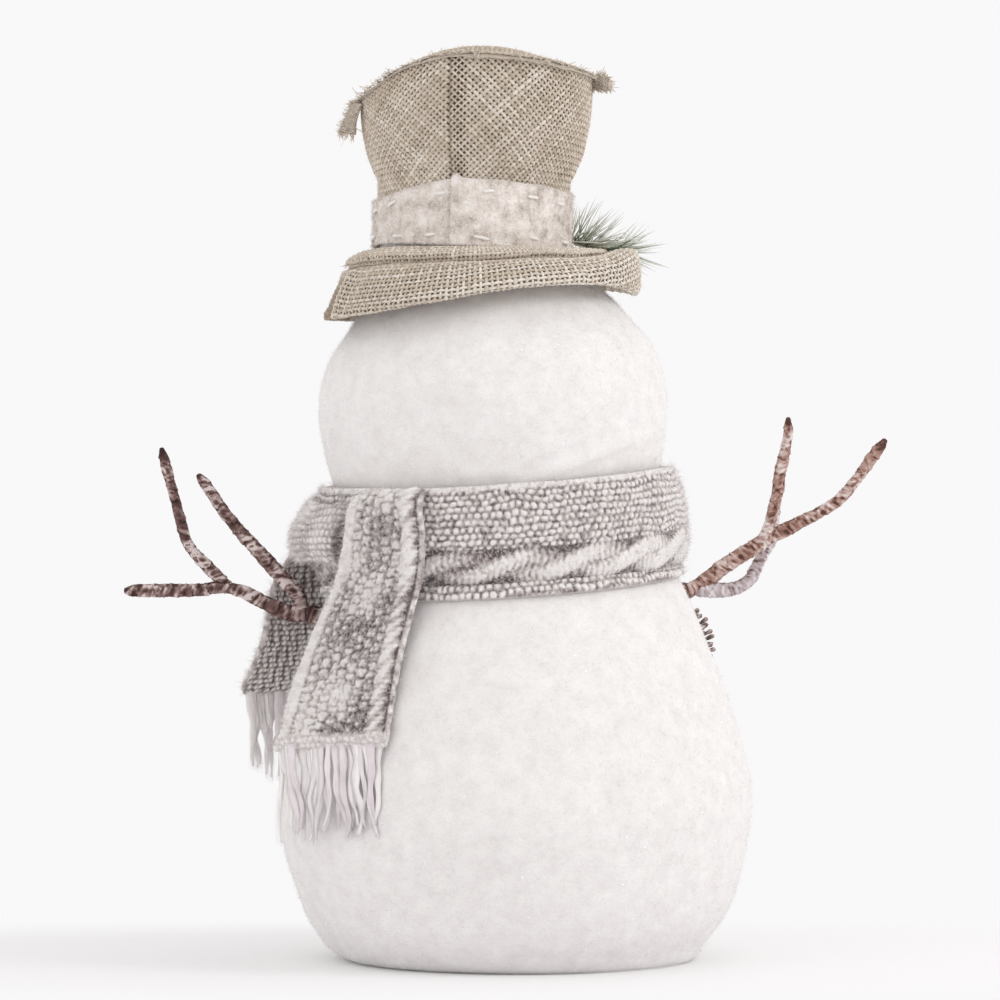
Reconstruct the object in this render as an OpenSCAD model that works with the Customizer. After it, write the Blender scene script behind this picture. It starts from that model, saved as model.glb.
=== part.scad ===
// Stuffed snowman for a shelf or a hearth: a fleece body and head on a weighted base, a burlap
// top hat, a knitted scarf, twig arms that turn where they enter the body, and a hanging cone.
// Millimetres, +Z up. The origin is the middle of the base, and the face looks along -Y.

/* [Body] */
// Lean of the figure to its left, in degrees
lean = 3.4; // [0:0.2:4]
// Width of the flat base
base_d = 172; // [160:1:184]
// Width across the belly
belly_d = 233; // [225:1:245]
// Height of the widest part of the belly
belly_z = 74; // [66:1:84]
// Width across the shoulder
shoulder_d = 175; // [170:1:180]
// Height of the shoulder
shoulder_z = 181; // [178:1:184]
// Width of the tied neck
neck_d = 112; // [100:1:120]
// Height of the tied neck
neck_z = 206; // [202:1:210]
// Thickness of the fleece cover
fleece_t = 2.5; // [1.5:0.5:4]
// Thickness of the round felt under the base
base_felt_t = 1.5; // [1:0.5:2.5]
// Thickness of the stiff board in the base
board_t = 3; // [2:0.5:5]
// Width of the bag of weight on the board
bag_d = 124; // [100:2:140]
// Height of the bag of weight
bag_h = 24; // [16:1:36]
// Thickness of the cord that ties the neck
tie_d = 4; // [3:0.5:6]

/* [Head] */
// Width of the head
head_d = 172; // [166:1:178]
// Height of the widest part of the head
head_z = 273.5; // [270:0.5:277]
// Rise of the crown of the head above its widest part
head_top = 79; // [75:1:83]
// Length of the nose
nose_l = 46; // [30:1:60]
// Width of the nose where it meets the head
nose_d = 18; // [14:1:24]
// Width of an eye
eye_d = 12; // [9:0.5:16]
// Sideways place of an eye, in degrees from the middle of the face
eye_side = 17; // [13:1:22]
// Height of the eyes above the widest part of the head
eye_rise = 16; // [10:1:22]
// Width of a coat button
button_d = 22; // [16:1:28]
// Thickness of a coat button
button_t = 4; // [3:0.5:6]
// Height of the upper coat button
upper_button_z = 156; // [146:1:164]
// Height of the lower coat button
lower_button_z = 116; // [96:1:128]

/* [Scarf] */
// Height of the band round the neck
scarf_w = 52; // [46:1:56]
// Thickness of the band
scarf_t = 9; // [6:0.5:11]
// Height of the middle of the band
scarf_z = 211; // [208:1:214]
// Outer width of the band
wrap_d = 181; // [178:1:188]
// Thickness of a tail
tail_t = 7; // [5:0.5:9]
// Width of a tail at its end
tail_w = 58; // [50:1:62]
// Length of the front tail, from its top to its end
front_tail_l = 96; // [80:1:110]
// Length of the rear tail, from its top to its end
rear_tail_l = 120; // [104:1:136]
// Thickness of a fringe strand
strand_d = 2.4; // [1.6:0.2:3.2]
// Length of the fringe
fringe_l = 44; // [30:1:52]

/* [Hat] */
// Height of the crown above the band's seat
crown_h = 88; // [76:1:100]
// Width of the crown where it meets the brim
crown_foot_d = 94; // [88:1:98]
// Width of the crown at its top
crown_top_d = 114; // [106:1:122]
// Drop of the crown's top edge at the figure's left side
crown_sag = 20; // [0:1:24]
// Thickness of the burlap
burlap_t = 1.5; // [1:0.25:2.5]
// Height that the domed top rises above the crown
dome_h = 8; // [5:1:14]
// Reach of the raw seam beyond the crown's top edge
seam_w = 5.5; // [3:0.5:8]
// Height of the felt band
band_w = 31; // [24:1:36]
// Thickness of the felt band
band_t = 1.6; // [1:0.2:2.4]
// Outer width of the brim
brim_d = 155; // [146:1:164]
// Thickness of the folded brim
brim_t = 5; // [4:0.5:7]
// Drop of the brim from the crown to its edge
brim_drop = 20; // [14:1:24]
// Sideways place of the hat on the head
hat_shift = 5.3; // [0:0.1:7]
// Height of the brim's seat above the widest part of the head
hat_seat = 79.5; // [78:0.5:84]
// Tilt of the hat to the figure's right, in degrees
hat_tilt = 5.3; // [3:0.1:7]
// Length of a pine needle
needle_l = 25; // [18:1:30]

/* [Arms] */
// Thickness of the stem that turns in the body
stem_d = 7.2; // [6:0.2:8.4]
// Length of stem inside the body
stem_l = 62; // [45:1:64]
// Height where the left stem leaves the body
left_arm_z = 171; // [168:1:174]
// Height where the right stem leaves the body
right_arm_z = 169.5; // [167:0.5:173]
// Thickness of a twig where it leaves the binding
twig_d = 7.6; // [6.8:0.2:8.4]
// Thickness of a twig near its tip
tip_d = 5.4; // [4:0.2:6.4]
// Length of the taped binding
binding_l = 7; // [5:0.5:9]

/* [Cone] */
// Length of the cone
cone_l = 34; // [28:1:38]
// Width of the cone over its scales
cone_d = 19; // [16:0.5:20]
// Number of scales
scale_count = 44; // [30:1:60]
// Thickness of the twine
twine_d = 1.6; // [1.2:0.2:2]

/* [Hidden] */

fleece = "#f1eff0";
stuffing = "#ffffff";
knit = "#b4aba9";
yarn = "#ddd3d4";
burlap = "#b9ab9b";
felt = "#d5ccc4";
bark = "#866f6c";

gap = 0.3;           // between soft pieces that lie against each other
stem_gap = 0.05;     // running clearance round a stem
round_fn = 96;
under = 8;           // how far the body's outline runs on below the floor
mouth = 30;          // how far a stem's bore is cut on past the body's side
clear_w = 400;       // wider and taller than any one piece
base_r = base_d / 2;
belly_r = belly_d / 2;
shoulder_r = shoulder_d / 2;
neck_r = neck_d / 2;
head_r = head_d / 2;
wrap_r = wrap_d / 2;
stem_r = stem_d / 2;

left_arm_side = -12; // azimuth of the left arm, in degrees
left_arm_rise = 30;  // how far the left stem points up, in degrees
left_hub = 2.5;      // where the left binding starts along the stem
right_arm_side = 210;
right_arm_rise = 22;
right_hub = 8;
twine_at = 4.4;      // where the twine goes round the right stem

// ---- lines and skins ----

function spline_at(a, b, c, d, t) =
    0.5 * (2 * b + (c - a) * t + (2 * a - 5 * b + 4 * c - d) * t * t
        + (3 * b - a - 3 * c + d) * t * t * t);

// A smooth line through points, with n steps between neighbours
function smooth(p, n) = [
    for (i = [0:len(p) - 2])
        for (k = [0:n - 1])
            spline_at(p[max(i - 1, 0)], p[i], p[i + 1], p[min(i + 2, len(p) - 1)], k / n),
    p[len(p) - 1]
];

function unit(v) = v / norm(v);
function reversed(p) = [for (i = [len(p) - 1:-1:0]) p[i]];

// The outline of a turned piece, moved in by t; an end that is cut level stays level
function inset(p, t) = [
    for (i = [0:len(p) - 1])
        let (
            d = unit(p[min(i + 1, len(p) - 1)] - p[max(i - 1, 0)]),
            level = i == 0 || (i == len(p) - 1 && p[i][0] > 0)
        )
        level ? [p[i][0] - t, p[i][1]] : [max(p[i][0] - t * d[1], 0), p[i][1] + t * d[0]]
];

// Radius of a turned outline at height z
function radius_at(p, z) = lookup(z, [for (q = p) [q[1], q[0]]]);

module turned(p) {
    top = p[len(p) - 1];
    rotate_extrude($fn = round_fn)
        polygon(concat([[0, p[0][1]]], p, top[0] > 0 ? [[0, top[1]]] : []));
}

module turned_shell(p, t) {
    rotate_extrude($fn = round_fn)
        polygon(concat(p, reversed(inset(p, t))));
}

// A closed skin over a row of rings with equal numbers of points
module skin(rings, closed = false) {
    n = len(rings[0]);
    m = len(rings);
    sides = [
        for (i = [0:m - (closed ? 1 : 2)])
            for (k = [0:n - 1])
                let (j = (i + 1) % m, l = (k + 1) % n)
                each [[i * n + k, i * n + l, j * n + l], [i * n + k, j * n + l, j * n + k]]
    ];
    ends = closed ? [] : [[for (k = [n - 1:-1:0]) k], [for (k = [0:n - 1]) (m - 1) * n + k]];
    polyhedron([for (r = rings) each r], concat(sides, ends), convexity = 6);
}

// Rings of a round tube along a path, from width d0 to width d1; its root and its tip may be thinner
function tube_rings(p, d0, d1, sides, tip = 1, root = 1) = [
    for (i = [0:len(p) - 1])
        let (
            t = unit(p[min(i + 1, len(p) - 1)] - p[max(i - 1, 0)]),
            across = unit(cross(t, [0, 1, 0])),
            up = cross(across, t),
            end = i == len(p) - 1 ? tip : i == 0 ? root : i == 1 ? (1 + root) / 2 : 1,
            r = end * (d0 + (d1 - d0) * i / (len(p) - 1)) / 2
        )
        [for (k = [0:sides - 1]) p[i] + r * (cos(360 * k / sides) * across + sin(360 * k / sides) * up)]
];

// ---- body and head ----

body_line = smooth([
    [base_r, -under], [base_r + 1, 1], [belly_r - 15.5, 18], [belly_r - 6.5, 40], [belly_r, belly_z],
    [shoulder_r + 22, 117], [shoulder_r + 9, 157], [shoulder_r, shoulder_z],
    [shoulder_r - 8.5, shoulder_z + 11], [neck_r + 10, neck_z - 6], [neck_r, neck_z]
], 3);
head_line = smooth([
    [neck_r, neck_z - head_z], [neck_r + 10, neck_z - head_z + 7], [head_r - 10.5, -47], [head_r - 4, -30],
    [head_r, -6], [head_r - 1.5, 12], [head_r - 6.5, 26], [head_r - 16, 39], [head_r - 26, head_top - 28],
    [head_r - 44, head_top - 13.5], [head_r - 60, head_top - 5], [0, head_top]
], 3);

function body_r(z) = radius_at(body_line, z);
function surface_r(z) = max(body_r(z), radius_at(head_line, z - head_z));

module leaning() {
    rotate([0, lean, 0]) children();
}

// Holds a piece against the side of the head or the body, facing straight out from it
module facing(line, z, side) {
    slope = radius_at(line, z + 2) - radius_at(line, z - 2);
    rotate([0, 0, side])
        translate([radius_at(line, z), 0, z])
            rotate([0, 90 + atan2(slope, 4), 0])
                children();
}

module above_floor(z = 0) {
    intersection() {
        children();
        translate([-clear_w / 2, -clear_w / 2, z]) cube(clear_w);
    }
}

// What lies flat in the base fits inside the cover on the side that the lean lifts
base_fit_r = body_r(-base_r * sin(lean)) - fleece_t - gap;

module base_felt() {
    color(fleece) cylinder(r = base_fit_r, h = base_felt_t, $fn = round_fn);
}

module base_board() {
    color("tan")
        translate([0, 0, base_felt_t])
            cylinder(r = base_fit_r, h = board_t, $fn = round_fn);
}

module bag_shape() {
    corner = bag_h * 0.4;
    rotate_extrude($fn = round_fn)
        polygon([
            [0, 0],
            for (a = [-90:15:90]) [bag_d / 2 - corner + corner * cos(a), a < 0 ? corner + corner * sin(a)
                : bag_h - corner + corner * sin(a)],
            [0, bag_h]
        ]);
}

module weight_bag() {
    color("burlywood") translate([0, 0, base_felt_t + board_t]) bag_shape();
}

module stem_bores() {
    stem_place(left_arm_side, left_arm_z, left_arm_rise) stem_bore();
    stem_place(right_arm_side, right_arm_z, right_arm_rise) stem_bore();
}

module stem_bore() {
    translate([0, 0, -stem_l - gap])
        cylinder(r = stem_r + stem_gap, h = stem_l + mouth, $fn = 48);
}

module body_filling() {
    color(stuffing) difference() {
        above_floor(base_felt_t + board_t) leaning() turned(inset(body_line, fleece_t));
        translate([0, 0, base_felt_t + board_t]) bag_shape();
        stem_bores();
    }
}

module body_cover() {
    color(fleece) difference() {
        above_floor() leaning() turned_shell(body_line, fleece_t);
        stem_bores();
    }
}

module neck_tie() {
    color("dimgray") leaning()
        translate([0, 0, neck_z])
            rotate_extrude($fn = round_fn)
                translate([neck_r + tie_d + gap, 0]) circle(d = tie_d, $fn = 16);
}

module head_filling() {
    color(stuffing) leaning() translate([0, 0, head_z]) turned(inset(head_line, fleece_t));
}

module head_cover() {
    color(fleece) leaning() translate([0, 0, head_z]) turned_shell(head_line, fleece_t);
}

module nose() {
    seat = pow(nose_d / 2, 2) / head_d + gap;
    color("darkorange") leaning() translate([0, 0, head_z]) facing(head_line, -6, -90)
        translate([0, 0, gap])
            rotate_extrude($fn = 48)
                polygon(concat(
                    [[0, 0], [nose_d / 2 - 1, 0], [nose_d / 2, seat + 1]],
                    [for (t = [0.2:0.2:0.8]) [nose_d / 2 * (1 - 0.78 * pow(t, 0.8)), nose_l * t]],
                    [[nose_d * 0.09, nose_l - 1.5], [nose_d * 0.05, nose_l - 0.4], [0, nose_l]]
                ));
}

module eye(side) {
    color("black") leaning() translate([0, 0, head_z]) facing(head_line, eye_rise, -90 + side)
        translate([0, 0, gap])
            rotate_extrude($fn = 48)
                polygon([
                    [0, 0], [eye_d / 2 - 0.6, 0], [eye_d / 2, 0.8],
                    for (a = [10:20:90]) [eye_d / 2 * cos(a), 1 + eye_d * 0.3 * sin(a)]
                ]);
}

// A round button with a raised rim and two sewing holes
module coat_button(z) {
    color("#4a3a33") leaning() facing(body_line, z, -90)
        translate([0, 0, gap])
            difference() {
                rotate_extrude($fn = 48)
                    polygon([
                        [0, 0], [button_d / 2 - 1.5, 0], [button_d / 2, 1.4],
                        [button_d / 2, button_t - 1.2], [button_d / 2 - 1, button_t],
                        [button_d / 2 - 2.2, button_t], [button_d / 2 - 4, button_t - 1.4],
                        [0, button_t - 1.4]
                    ]);
                for (x = [-1, 1])
                    translate([0, x * button_d * 0.12, -1]) cylinder(d = 2.2, h = button_t + 2, $fn = 24);
            }
}

// ---- scarf ----

scarf_sag = 2.5;     // drop of the band at the back and front
scarf_slope = 2;     // further drop at the back, and rise at the front
edge_t = 2.5;        // thickness left at the band's edges
tail_rise = 22;      // how far the tails' tops stand above the middle of the band

function band_z(side, t) =
    scarf_z - scarf_sag * (1 - cos(2 * side)) / 2 - scarf_slope * sin(side) + (t - 0.5) * scarf_w;
function band_outer(side, t) =
    max(surface_r(band_z(side, t)) + 2 * gap + edge_t, wrap_r - 6 * pow(2 * t - 1, 2));
function band_inner(side, t) =
    max(surface_r(band_z(side, t)) + 2 * gap, band_outer(side, t) - scarf_t);
function polar(side, r, z) = [r * cos(side), r * sin(side), z];

// Outermost surface of head, body and band at a height
function dressed_r(side, z) =
    let (t = (z - band_z(side, 0)) / scarf_w)
    t < 0 || t > 1 ? surface_r(z) : max(surface_r(z), band_outer(side, t));

// Moves a point straight out until it is m clear of what lies under it
function clear_of(p, m) =
    let (side = atan2(p[1], p[0]), r = norm([p[0], p[1]]), need = dressed_r(side, p[2]) + m)
    r >= need ? p : polar(side, need, p[2]);

module scarf_band() {
    steps = 44;
    inner_steps = [1, 0.93, 0.86, 0.74, 0.5, 0.26, 0.14, 0.07, 0];
    rings = [
        for (i = [0:steps - 1])
            let (side = 360 * i / steps)
            concat(
                [for (t = [0:0.2:1]) polar(side, band_outer(side, t), band_z(side, t))],
                [for (t = inner_steps) polar(side, band_inner(side, t), band_z(side, t))]
            )
    ];
    color(knit) leaning() skin(rings, closed = true);
}

knot_from = -20;     // azimuth of the knot's front end
knot_to = 38;        // azimuth of the knot's rear end

// The turned-over lap of scarf that holds both tails
module scarf_knot() {
    steps = 10;
    rings = [
        for (i = [0:steps])
            let (
                side = knot_from + (knot_to - knot_from) * i / steps,
                low = scarf_z - 12 + 3 * cos(90 * (side - 10) / 30),
                high = scarf_z + 24 - 7 * i / steps
            )
            concat(
                [for (t = [0:0.25:1])
                    let (z = low + (high - low) * t, lap = 2 + (14 - 9 * t) * pow(sin(20 + 140 * t), 0.7))
                    polar(side, dressed_r(side, z) + gap + lap, z)],
                [for (t = [1:-0.25:0])
                    let (z = low + (high - low) * t)
                    polar(side, dressed_r(side, z) + gap, z)]
            )
    ];
    color(knit) leaning() skin(rings);
}

// One cross-section of a tail: its middle at an azimuth, distance and height, then its width and
// the azimuth that its flat side faces
function tail_ring(s) =
    let (
        out = [cos(s[4]), sin(s[4]), 0],
        across = [-sin(s[4]), cos(s[4]), 0],
        inner = [for (u = [-0.5:0.25:0.5]) clear_of(polar(s[0], s[1], s[2]) + u * s[3] * across, gap)]
    )
    concat(
        inner,
        [for (k = [4:-1:0]) inner[k] + tail_t * (k == 0 || k == 4 ? 0.6 : 1) * out]
    );

// A station of a tail: azimuth, how far out from the band, how much of the tail's length is above it,
// width, and the azimuth that its flat side faces
function tail_line(stations, length) = smooth([
    for (s = stations)
        [s[0], wrap_r + s[1], scarf_z + tail_rise - length * s[2], tail_w - s[3], s[4]]
], 2);

front_tail = tail_line([
    [-36, -6.5, 0, 16, -38], [-36, -1.5, 0.094, 14, -40], [-33.5, 6.5, 0.24, 10, -47],
    [-31, 15.5, 0.448, 4, -54], [-30, 21.5, 0.74, 1, -55], [-28, 33.5, 1, 0, -55]
], front_tail_l);
rear_tail = tail_line([
    [54, -6.5, 0, 20, 54], [54, -0.5, 0.058, 18, 54], [53.5, 0.5, 0.192, 14, 54],
    [51, 2.5, 0.358, 9, 53], [44.5, 11.5, 0.65, 3, 55], [43.5, 28.5, 1, 0, 64]
], rear_tail_l);

module tail(stations) {
    color(knit) leaning() skin([for (s = reversed(stations)) tail_ring(s)]);
}

// Strands that hang from the last cross-section of a tail
module fringe(stations, count) {
    s = stations[len(stations) - 1];
    out = [cos(s[4]), sin(s[4]), 0];
    across = [-sin(s[4]), cos(s[4]), 0];
    color(yarn) leaning() for (i = [0:count - 1]) {
        u = (i + 0.5) / count - 0.5;
        top = polar(s[0], s[1], s[2] - gap) + u * (s[3] - strand_d) * across + tail_t / 2 * out;
        path = [
            for (t = [0:0.25:1])
                clear_of(
                    top + (3 * sin(130 * i) * t * across) + [0, 0, -fringe_l * t * (0.9 + 0.1 * cos(97 * i))],
                    strand_d / 2 + gap
                )
        ];
        skin(tube_rings(path, strand_d, strand_d * 0.8, 5));
    }
}

// ---- hat ----

crown_foot_r = crown_foot_d / 2;
crown_top_r = crown_top_d / 2;
crown_line = smooth([
    [crown_foot_r, -28], [crown_foot_r, 0], [crown_foot_r, crown_h * 0.34],
    [crown_foot_r + 2.5, crown_h * 0.43], [crown_top_r - 3.6, crown_h * 0.58],
    [crown_top_r - 1, crown_h * 0.8], [crown_top_r, crown_h]
], 2);
dome_line = smooth([
    [crown_top_r + seam_w, crown_h - 1.5], [crown_top_r + 1, crown_h + burlap_t + gap],
    [crown_top_r * 0.8, crown_h + dome_h * 0.5], [crown_top_r * 0.45, crown_h + dome_h * 0.9],
    [0, crown_h + dome_h]
], 2);
hat_steps = 40;      // facets round the crown

// The stuffed crown sags to the figure's left, and a little to its right
function sagged(side, q) =
    let (
        c = cos(side),
        share = pow(max(q[1], 0) / crown_h, 2) * pow(min(q[0] / crown_top_r, 1), 1.5)
    )
    polar(side, q[0], q[1] - share * crown_sag * (c > 0 ? pow(c, 2.2) : 0.25 * pow(-c, 2.2)));

brim_seat = -7;      // height where the brim meets the crown
brim_roll = 2;       // how much higher the brim's seat is on the figure's right
band_from = brim_seat + brim_roll + brim_t / 2 + gap;
brim_flare = 13;     // how far the brim's right end is turned up

module on_hat() {
    leaning()
        translate([hat_shift, 0, head_z + hat_seat])
            rotate([0, -hat_tilt, 0])
                children();
}

module head_hollow() {
    leaning() translate([0, 0, head_z]) turned(inset(head_line, -gap));
}

// A sagging shape with a level ring at each point of a line
module sagging(line) {
    skin([
        for (q = line)
            [for (i = [0:hat_steps - 1]) sagged(-360 * i / hat_steps, [max(q[0], 1), q[1]])]
    ]);
}

module hat_crown() {
    wall = concat(crown_line, reversed(inset(crown_line, burlap_t)));
    color(burlap) difference() {
        on_hat()
            skin(
                [for (i = [0:hat_steps - 1]) [for (q = wall) sagged(360 * i / hat_steps, q)]],
                closed = true
            );
        head_hollow();
    }
}

// The domed top panel, whose raw seam stands out beyond the crown
module hat_top() {
    color(burlap) on_hat() sagging(concat(reversed(inset(dome_line, burlap_t)), dome_line));
}

module hat_filling() {
    color(stuffing) difference() {
        on_hat()
            sagging(concat(
                inset(crown_line, burlap_t),
                [[crown_top_r * 0.6, crown_h + dome_h * 0.3], [0, crown_h + dome_h * 0.5]]
            ));
        head_hollow();
    }
}

function brim_edge_r(side) = brim_d / 2 - 4.5 * cos(side);
function brim_edge_z(side) = brim_seat - brim_drop - 10 * cos(side) + 1.5 * cos(3 * side + 40);
function brim_point(side, t, lift) =
    polar(
        side,
        crown_foot_r + gap + (brim_edge_r(side) - crown_foot_r) * t,
        brim_seat - brim_roll * cos(side) + lift * brim_t / 2
            + (brim_edge_z(side) - brim_seat) * pow(t, 1.5 + 0.7 * max(0, cos(side)))
            + max(lift, lift / 4) * brim_flare * t * t * pow(max(0, -cos(side)), 8)
    );

module hat_brim() {
    steps = 48;
    rings = [
        for (i = [0:steps - 1])
            let (side = 360 * i / steps)
            concat(
                [for (t = [0:0.2:1]) brim_point(side, t, t == 1 ? -0.5 : -1)],
                [for (t = [1:-0.2:0]) brim_point(side, t, t == 1 ? 0.5 : 1)]
            )
    ];
    color(burlap) on_hat() skin(rings, closed = true);
}

module hat_band() {
    color(felt) on_hat()
        translate([0, 0, band_from])
            difference() {
                cylinder(r = crown_foot_r + gap + band_t, h = band_w, $fn = round_fn);
                translate([0, 0, -1]) cylinder(r = crown_foot_r + gap, h = band_w + 2, $fn = round_fn);
            }
}

twig_path = smooth([[-43, -33, 6], [-55, -38, 4], [-66, -42, 2], [-76, -45, 1]], 4);

module pine_twig() {
    color("#6f6a55") on_hat() skin(tube_rings(twig_path, 3, 1.6, 8, tip = 0.5));
}

// Needles stand round the outer part of the twig, all but where the brim lies under them
module pine_needles() {
    rows = len(twig_path) - 1;
    color("#b9bfae") on_hat() for (i = [3:rows], k = [0:5]) {
        p = twig_path[i];
        along = unit(twig_path[min(i + 1, rows)] - twig_path[max(i - 1, 0)]);
        across = unit(cross(along, [0, 0, 1]));
        up = cross(across, along);
        turn = -110 + 220 * (k + 0.5 * (i % 2)) / 5.5;
        spread = 30 + 22 * (rows - i) / rows + 6 * sin(77 * i + 50 * k);
        away = sin(turn) * across + cos(turn) * up;
        way = cos(spread) * along + sin(spread) * away;
        start = p + (1.7 - 0.7 * i / rows) * away + 0.8 * along;
        line = [for (t = [0:0.5:1]) start + needle_l * t * way];
        skin(tube_rings(line, 1.1, 0.7, 3, tip = 0.4));
    }
}

// ---- arms ----

// A point at x up and z out along a stem, as it lies in the leaning body
function stem_point(side, height, rise, x, z) =
    polar(side, body_r(height) + z * cos(rise) - x * sin(rise), height + z * sin(rise) + x * cos(rise));

// The arm's own frame: +Z out along the stem, +X up
module stem_place(side, z, rise) {
    leaning()
        rotate([0, 0, side])
            translate([body_r(z), 0, z])
                rotate([0, 90 - rise, 0])
                    rotate([0, 0, 180])
                        children();
}

module left_arm() {
    stem_place(left_arm_side, left_arm_z, left_arm_rise) children();
}

module right_arm() {
    stem_place(right_arm_side, right_arm_z, right_arm_rise) children();
}

module stem(hub) {
    color(bark) translate([0, 0, -stem_l]) cylinder(r = stem_r, h = stem_l + hub, $fn = 48);
}

// The taped joint between a stem and its twigs
module binding(hub) {
    color("#6d5854") translate([0, 0, hub])
        rotate_extrude($fn = 48)
            polygon([
                [0, 0], [stem_r + 0.8, 0], [stem_r + 1.6, binding_l * 0.25], [stem_r + 1.2, binding_l * 0.5],
                [stem_r + 1.9, binding_l * 0.75], [twig_d / 2 + 0.3, binding_l], [0, binding_l]
            ]);
}

module twig(path, d0, extra = 0, root = 1) {
    skin(tube_rings(smooth(path, 2), d0 + 2 * extra, tip_d + 2 * extra, 8, tip = 0.45, root = root));
}

left_main = [
    [0.4, 0, left_hub + binding_l - 2], [-1.4, 0, left_hub + binding_l + 2.5], [-4, 0, 16.5], [-5, -0.8, 23],
    [-5.3, -2, 33], [-5.3, -3.5, 44], [-8, -5.6, 54], [-14.7, -8, 64], [-22.7, -11, 80], [-31, -14, 96]
];
left_upper = [
    [-1.2, 0, 11], [1.8, 0, 14], [4.6, 0, 17], [7.6, -1, 21.5], [10, -1, 29], [14, -2, 40],
    [19.3, -3, 54], [25.8, -4, 69], [32.8, -3.5, 82], [36.8, -3.5, 90.5]
];
left_finger = [
    [-6.6, -4.3, 48.5], [-6, -5.2, 52.5], [-3.8, -7, 58], [-1, -9, 65], [5, -12, 78],
    [16.3, -13.5, 88], [30.3, -15.5, 100], [42, -17, 110]
];
right_main = [
    [0, 0, right_hub + binding_l - 2], [-1, 0.1, 18], [-0.7, 1.5, 24], [1.8, 5.2, 34], [4, 9, 44.5],
    [5.4, 13, 55], [7, 16.5, 63.5], [7.2, 21, 72], [8, 25.7, 81.5], [8.8, 30.6, 91],
    [10.8, 34.6, 99], [15.2, 38, 107.5], [21.4, 41.3, 118], [29, 45.5, 131]
];
right_lower = [
    [-1, 0.6, 20], [-3.2, 1.6, 23], [-7, 4, 30], [-10.2, 6, 39], [-10, 7, 47.5],
    [-6.6, 6.2, 54.5], [-2.4, 4.8, 62], [0.4, 2, 70.5], [4, -4.8, 79], [9, -12, 88], [16.5, -20, 99]
];
right_finger = [
    [5.9, 14.4, 58.5], [9.4, 15.6, 62.5], [14, 16.6, 67], [19.4, 17.8, 71], [26, 19, 76],
    [34.4, 20, 81], [41.7, 21, 86.5], [50, 22.4, 92], [58.4, 22.7, 96]
];

// The longest twig of an arm, cut level where it seats on the binding
module main_twig(path, hub) {
    color(bark) difference() {
        twig(path, twig_d);
        translate([0, 0, hub]) cylinder(d = 3 * twig_d, h = binding_l, $fn = 24);
    }
}

// A twig that leaves another, cut to the other's side
module branch(path, carrier, d0) {
    color(bark) difference() {
        twig(path, d0, root = 0.6);
        twig(carrier, twig_d, extra = 0.1);
    }
}

// ---- cone ----

cone_side = right_arm_side;
cone_z = 166.5;      // height of the cone's top
cone_tip_r = 1.2;
cone_core_r = 3.2;
scale_seat = 0.4;    // from the core to the root of a scale

// The cone leans on the belly below the right arm
cone_lean = atan2(body_r(cone_z - cone_l * 0.85) - body_r(cone_z), cone_l * 0.85);
cone_out = body_r(cone_z - cone_l * 0.4) - body_r(cone_z) + cone_d / 2 + 4 * gap;

cone_top = polar(cone_side, body_r(cone_z) + cone_out - cone_l * 0.4 * tan(cone_lean), cone_z);

module cone_place() {
    leaning()
        translate(cone_top)
            rotate([0, 180 - cone_lean, cone_side])
                children();
}

function core_r(t) = cone_core_r * (1 - 0.55 * t) * pow(sin(18 + 160 * t), 0.4);

module cone_core() {
    color("#5d4740") cone_place()
        rotate_extrude($fn = 32)
            polygon(concat(
                [[0, 0]],
                [for (t = [0:0.1:1]) [t == 1 ? cone_tip_r * 0.4 : core_r(t), cone_l * (0.04 + 0.9 * t)]],
                [[0, cone_l * 0.95]]
            ));
}

// Scales follow each other by the golden angle, and open most at a third of the length
module cone_scales() {
    color("#7b5f54") cone_place() for (i = [0:scale_count - 1]) {
        t = (i + 0.5) / scale_count;
        reach = cone_d / 2 * pow(sin(22 + 150 * t), 0.6) - core_r(t);
        rise = 58 - 44 * t;
        rotate([0, 0, 137.508 * i])
            translate([core_r(t) + scale_seat, 0, cone_l * (0.06 + 0.84 * t)])
                rotate([0, -(90 - rise) + 60, 0])
                    cone_scale(reach);
    }
}

module cone_scale(l) {
    w = 2.2 + l * 0.45;
    skin([
        [[l, -0.5, 0.2], [l, 0.5, 0.2], [l, 0.5, 0.9], [l, -0.5, 0.9]],
        [[l * 0.55, -w / 2, 0.5], [l * 0.55, w / 2, 0.5], [l * 0.55, w / 2, 1.3], [l * 0.55, -w / 2, 1.3]],
        [[0, -1, 0], [0, 1, 0], [0, 1, 0.9], [0, -1, 0.9]]
    ]);
}

// A loop round the stem, and the length that the cone hangs from
module twine() {
    loop_r = stem_r + gap + twine_d / 2;
    start = stem_point(right_arm_side, right_arm_z, right_arm_rise, -loop_r, twine_at);
    end = cone_top + [0, 0, 2 * gap];
    path = [for (t = [0:0.25:1]) clear_of(start + (end - start) * t, twine_d / 2 + gap)];
    color("#8a7466") {
        right_arm() translate([0, 0, twine_at])
            rotate_extrude($fn = 48)
                translate([loop_r, 0]) circle(d = twine_d, $fn = 16);
        leaning() skin(tube_rings(path, twine_d, twine_d, 8));
    }
}

// ---- the pieces ----

base_felt();
base_board();
weight_bag();
body_filling();
body_cover();
neck_tie();
head_filling();
head_cover();
nose();
eye(eye_side);  // left_eye
eye(-eye_side);  // right_eye
coat_button(upper_button_z);  // upper_coat_button
coat_button(lower_button_z);  // lower_coat_button
scarf_band();
scarf_knot();
tail(front_tail);  // scarf_front_tail
tail(rear_tail);  // scarf_rear_tail
fringe(front_tail, 10);  // front_fringe
fringe(rear_tail, 12);  // rear_fringe
hat_crown();
hat_top();
hat_filling();
hat_brim();
hat_band();
pine_twig();
pine_needles();
left_arm() stem(left_hub);  // left_stem
left_arm() binding(left_hub);  // left_binding
left_arm() main_twig(left_main, left_hub);  // left_main_twig
left_arm() branch(left_upper, left_main, twig_d - 0.4);  // left_upper_twig
left_arm() branch(left_finger, left_main, tip_d + 0.6);  // left_finger_twig
right_arm() stem(right_hub);  // right_stem
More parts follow.
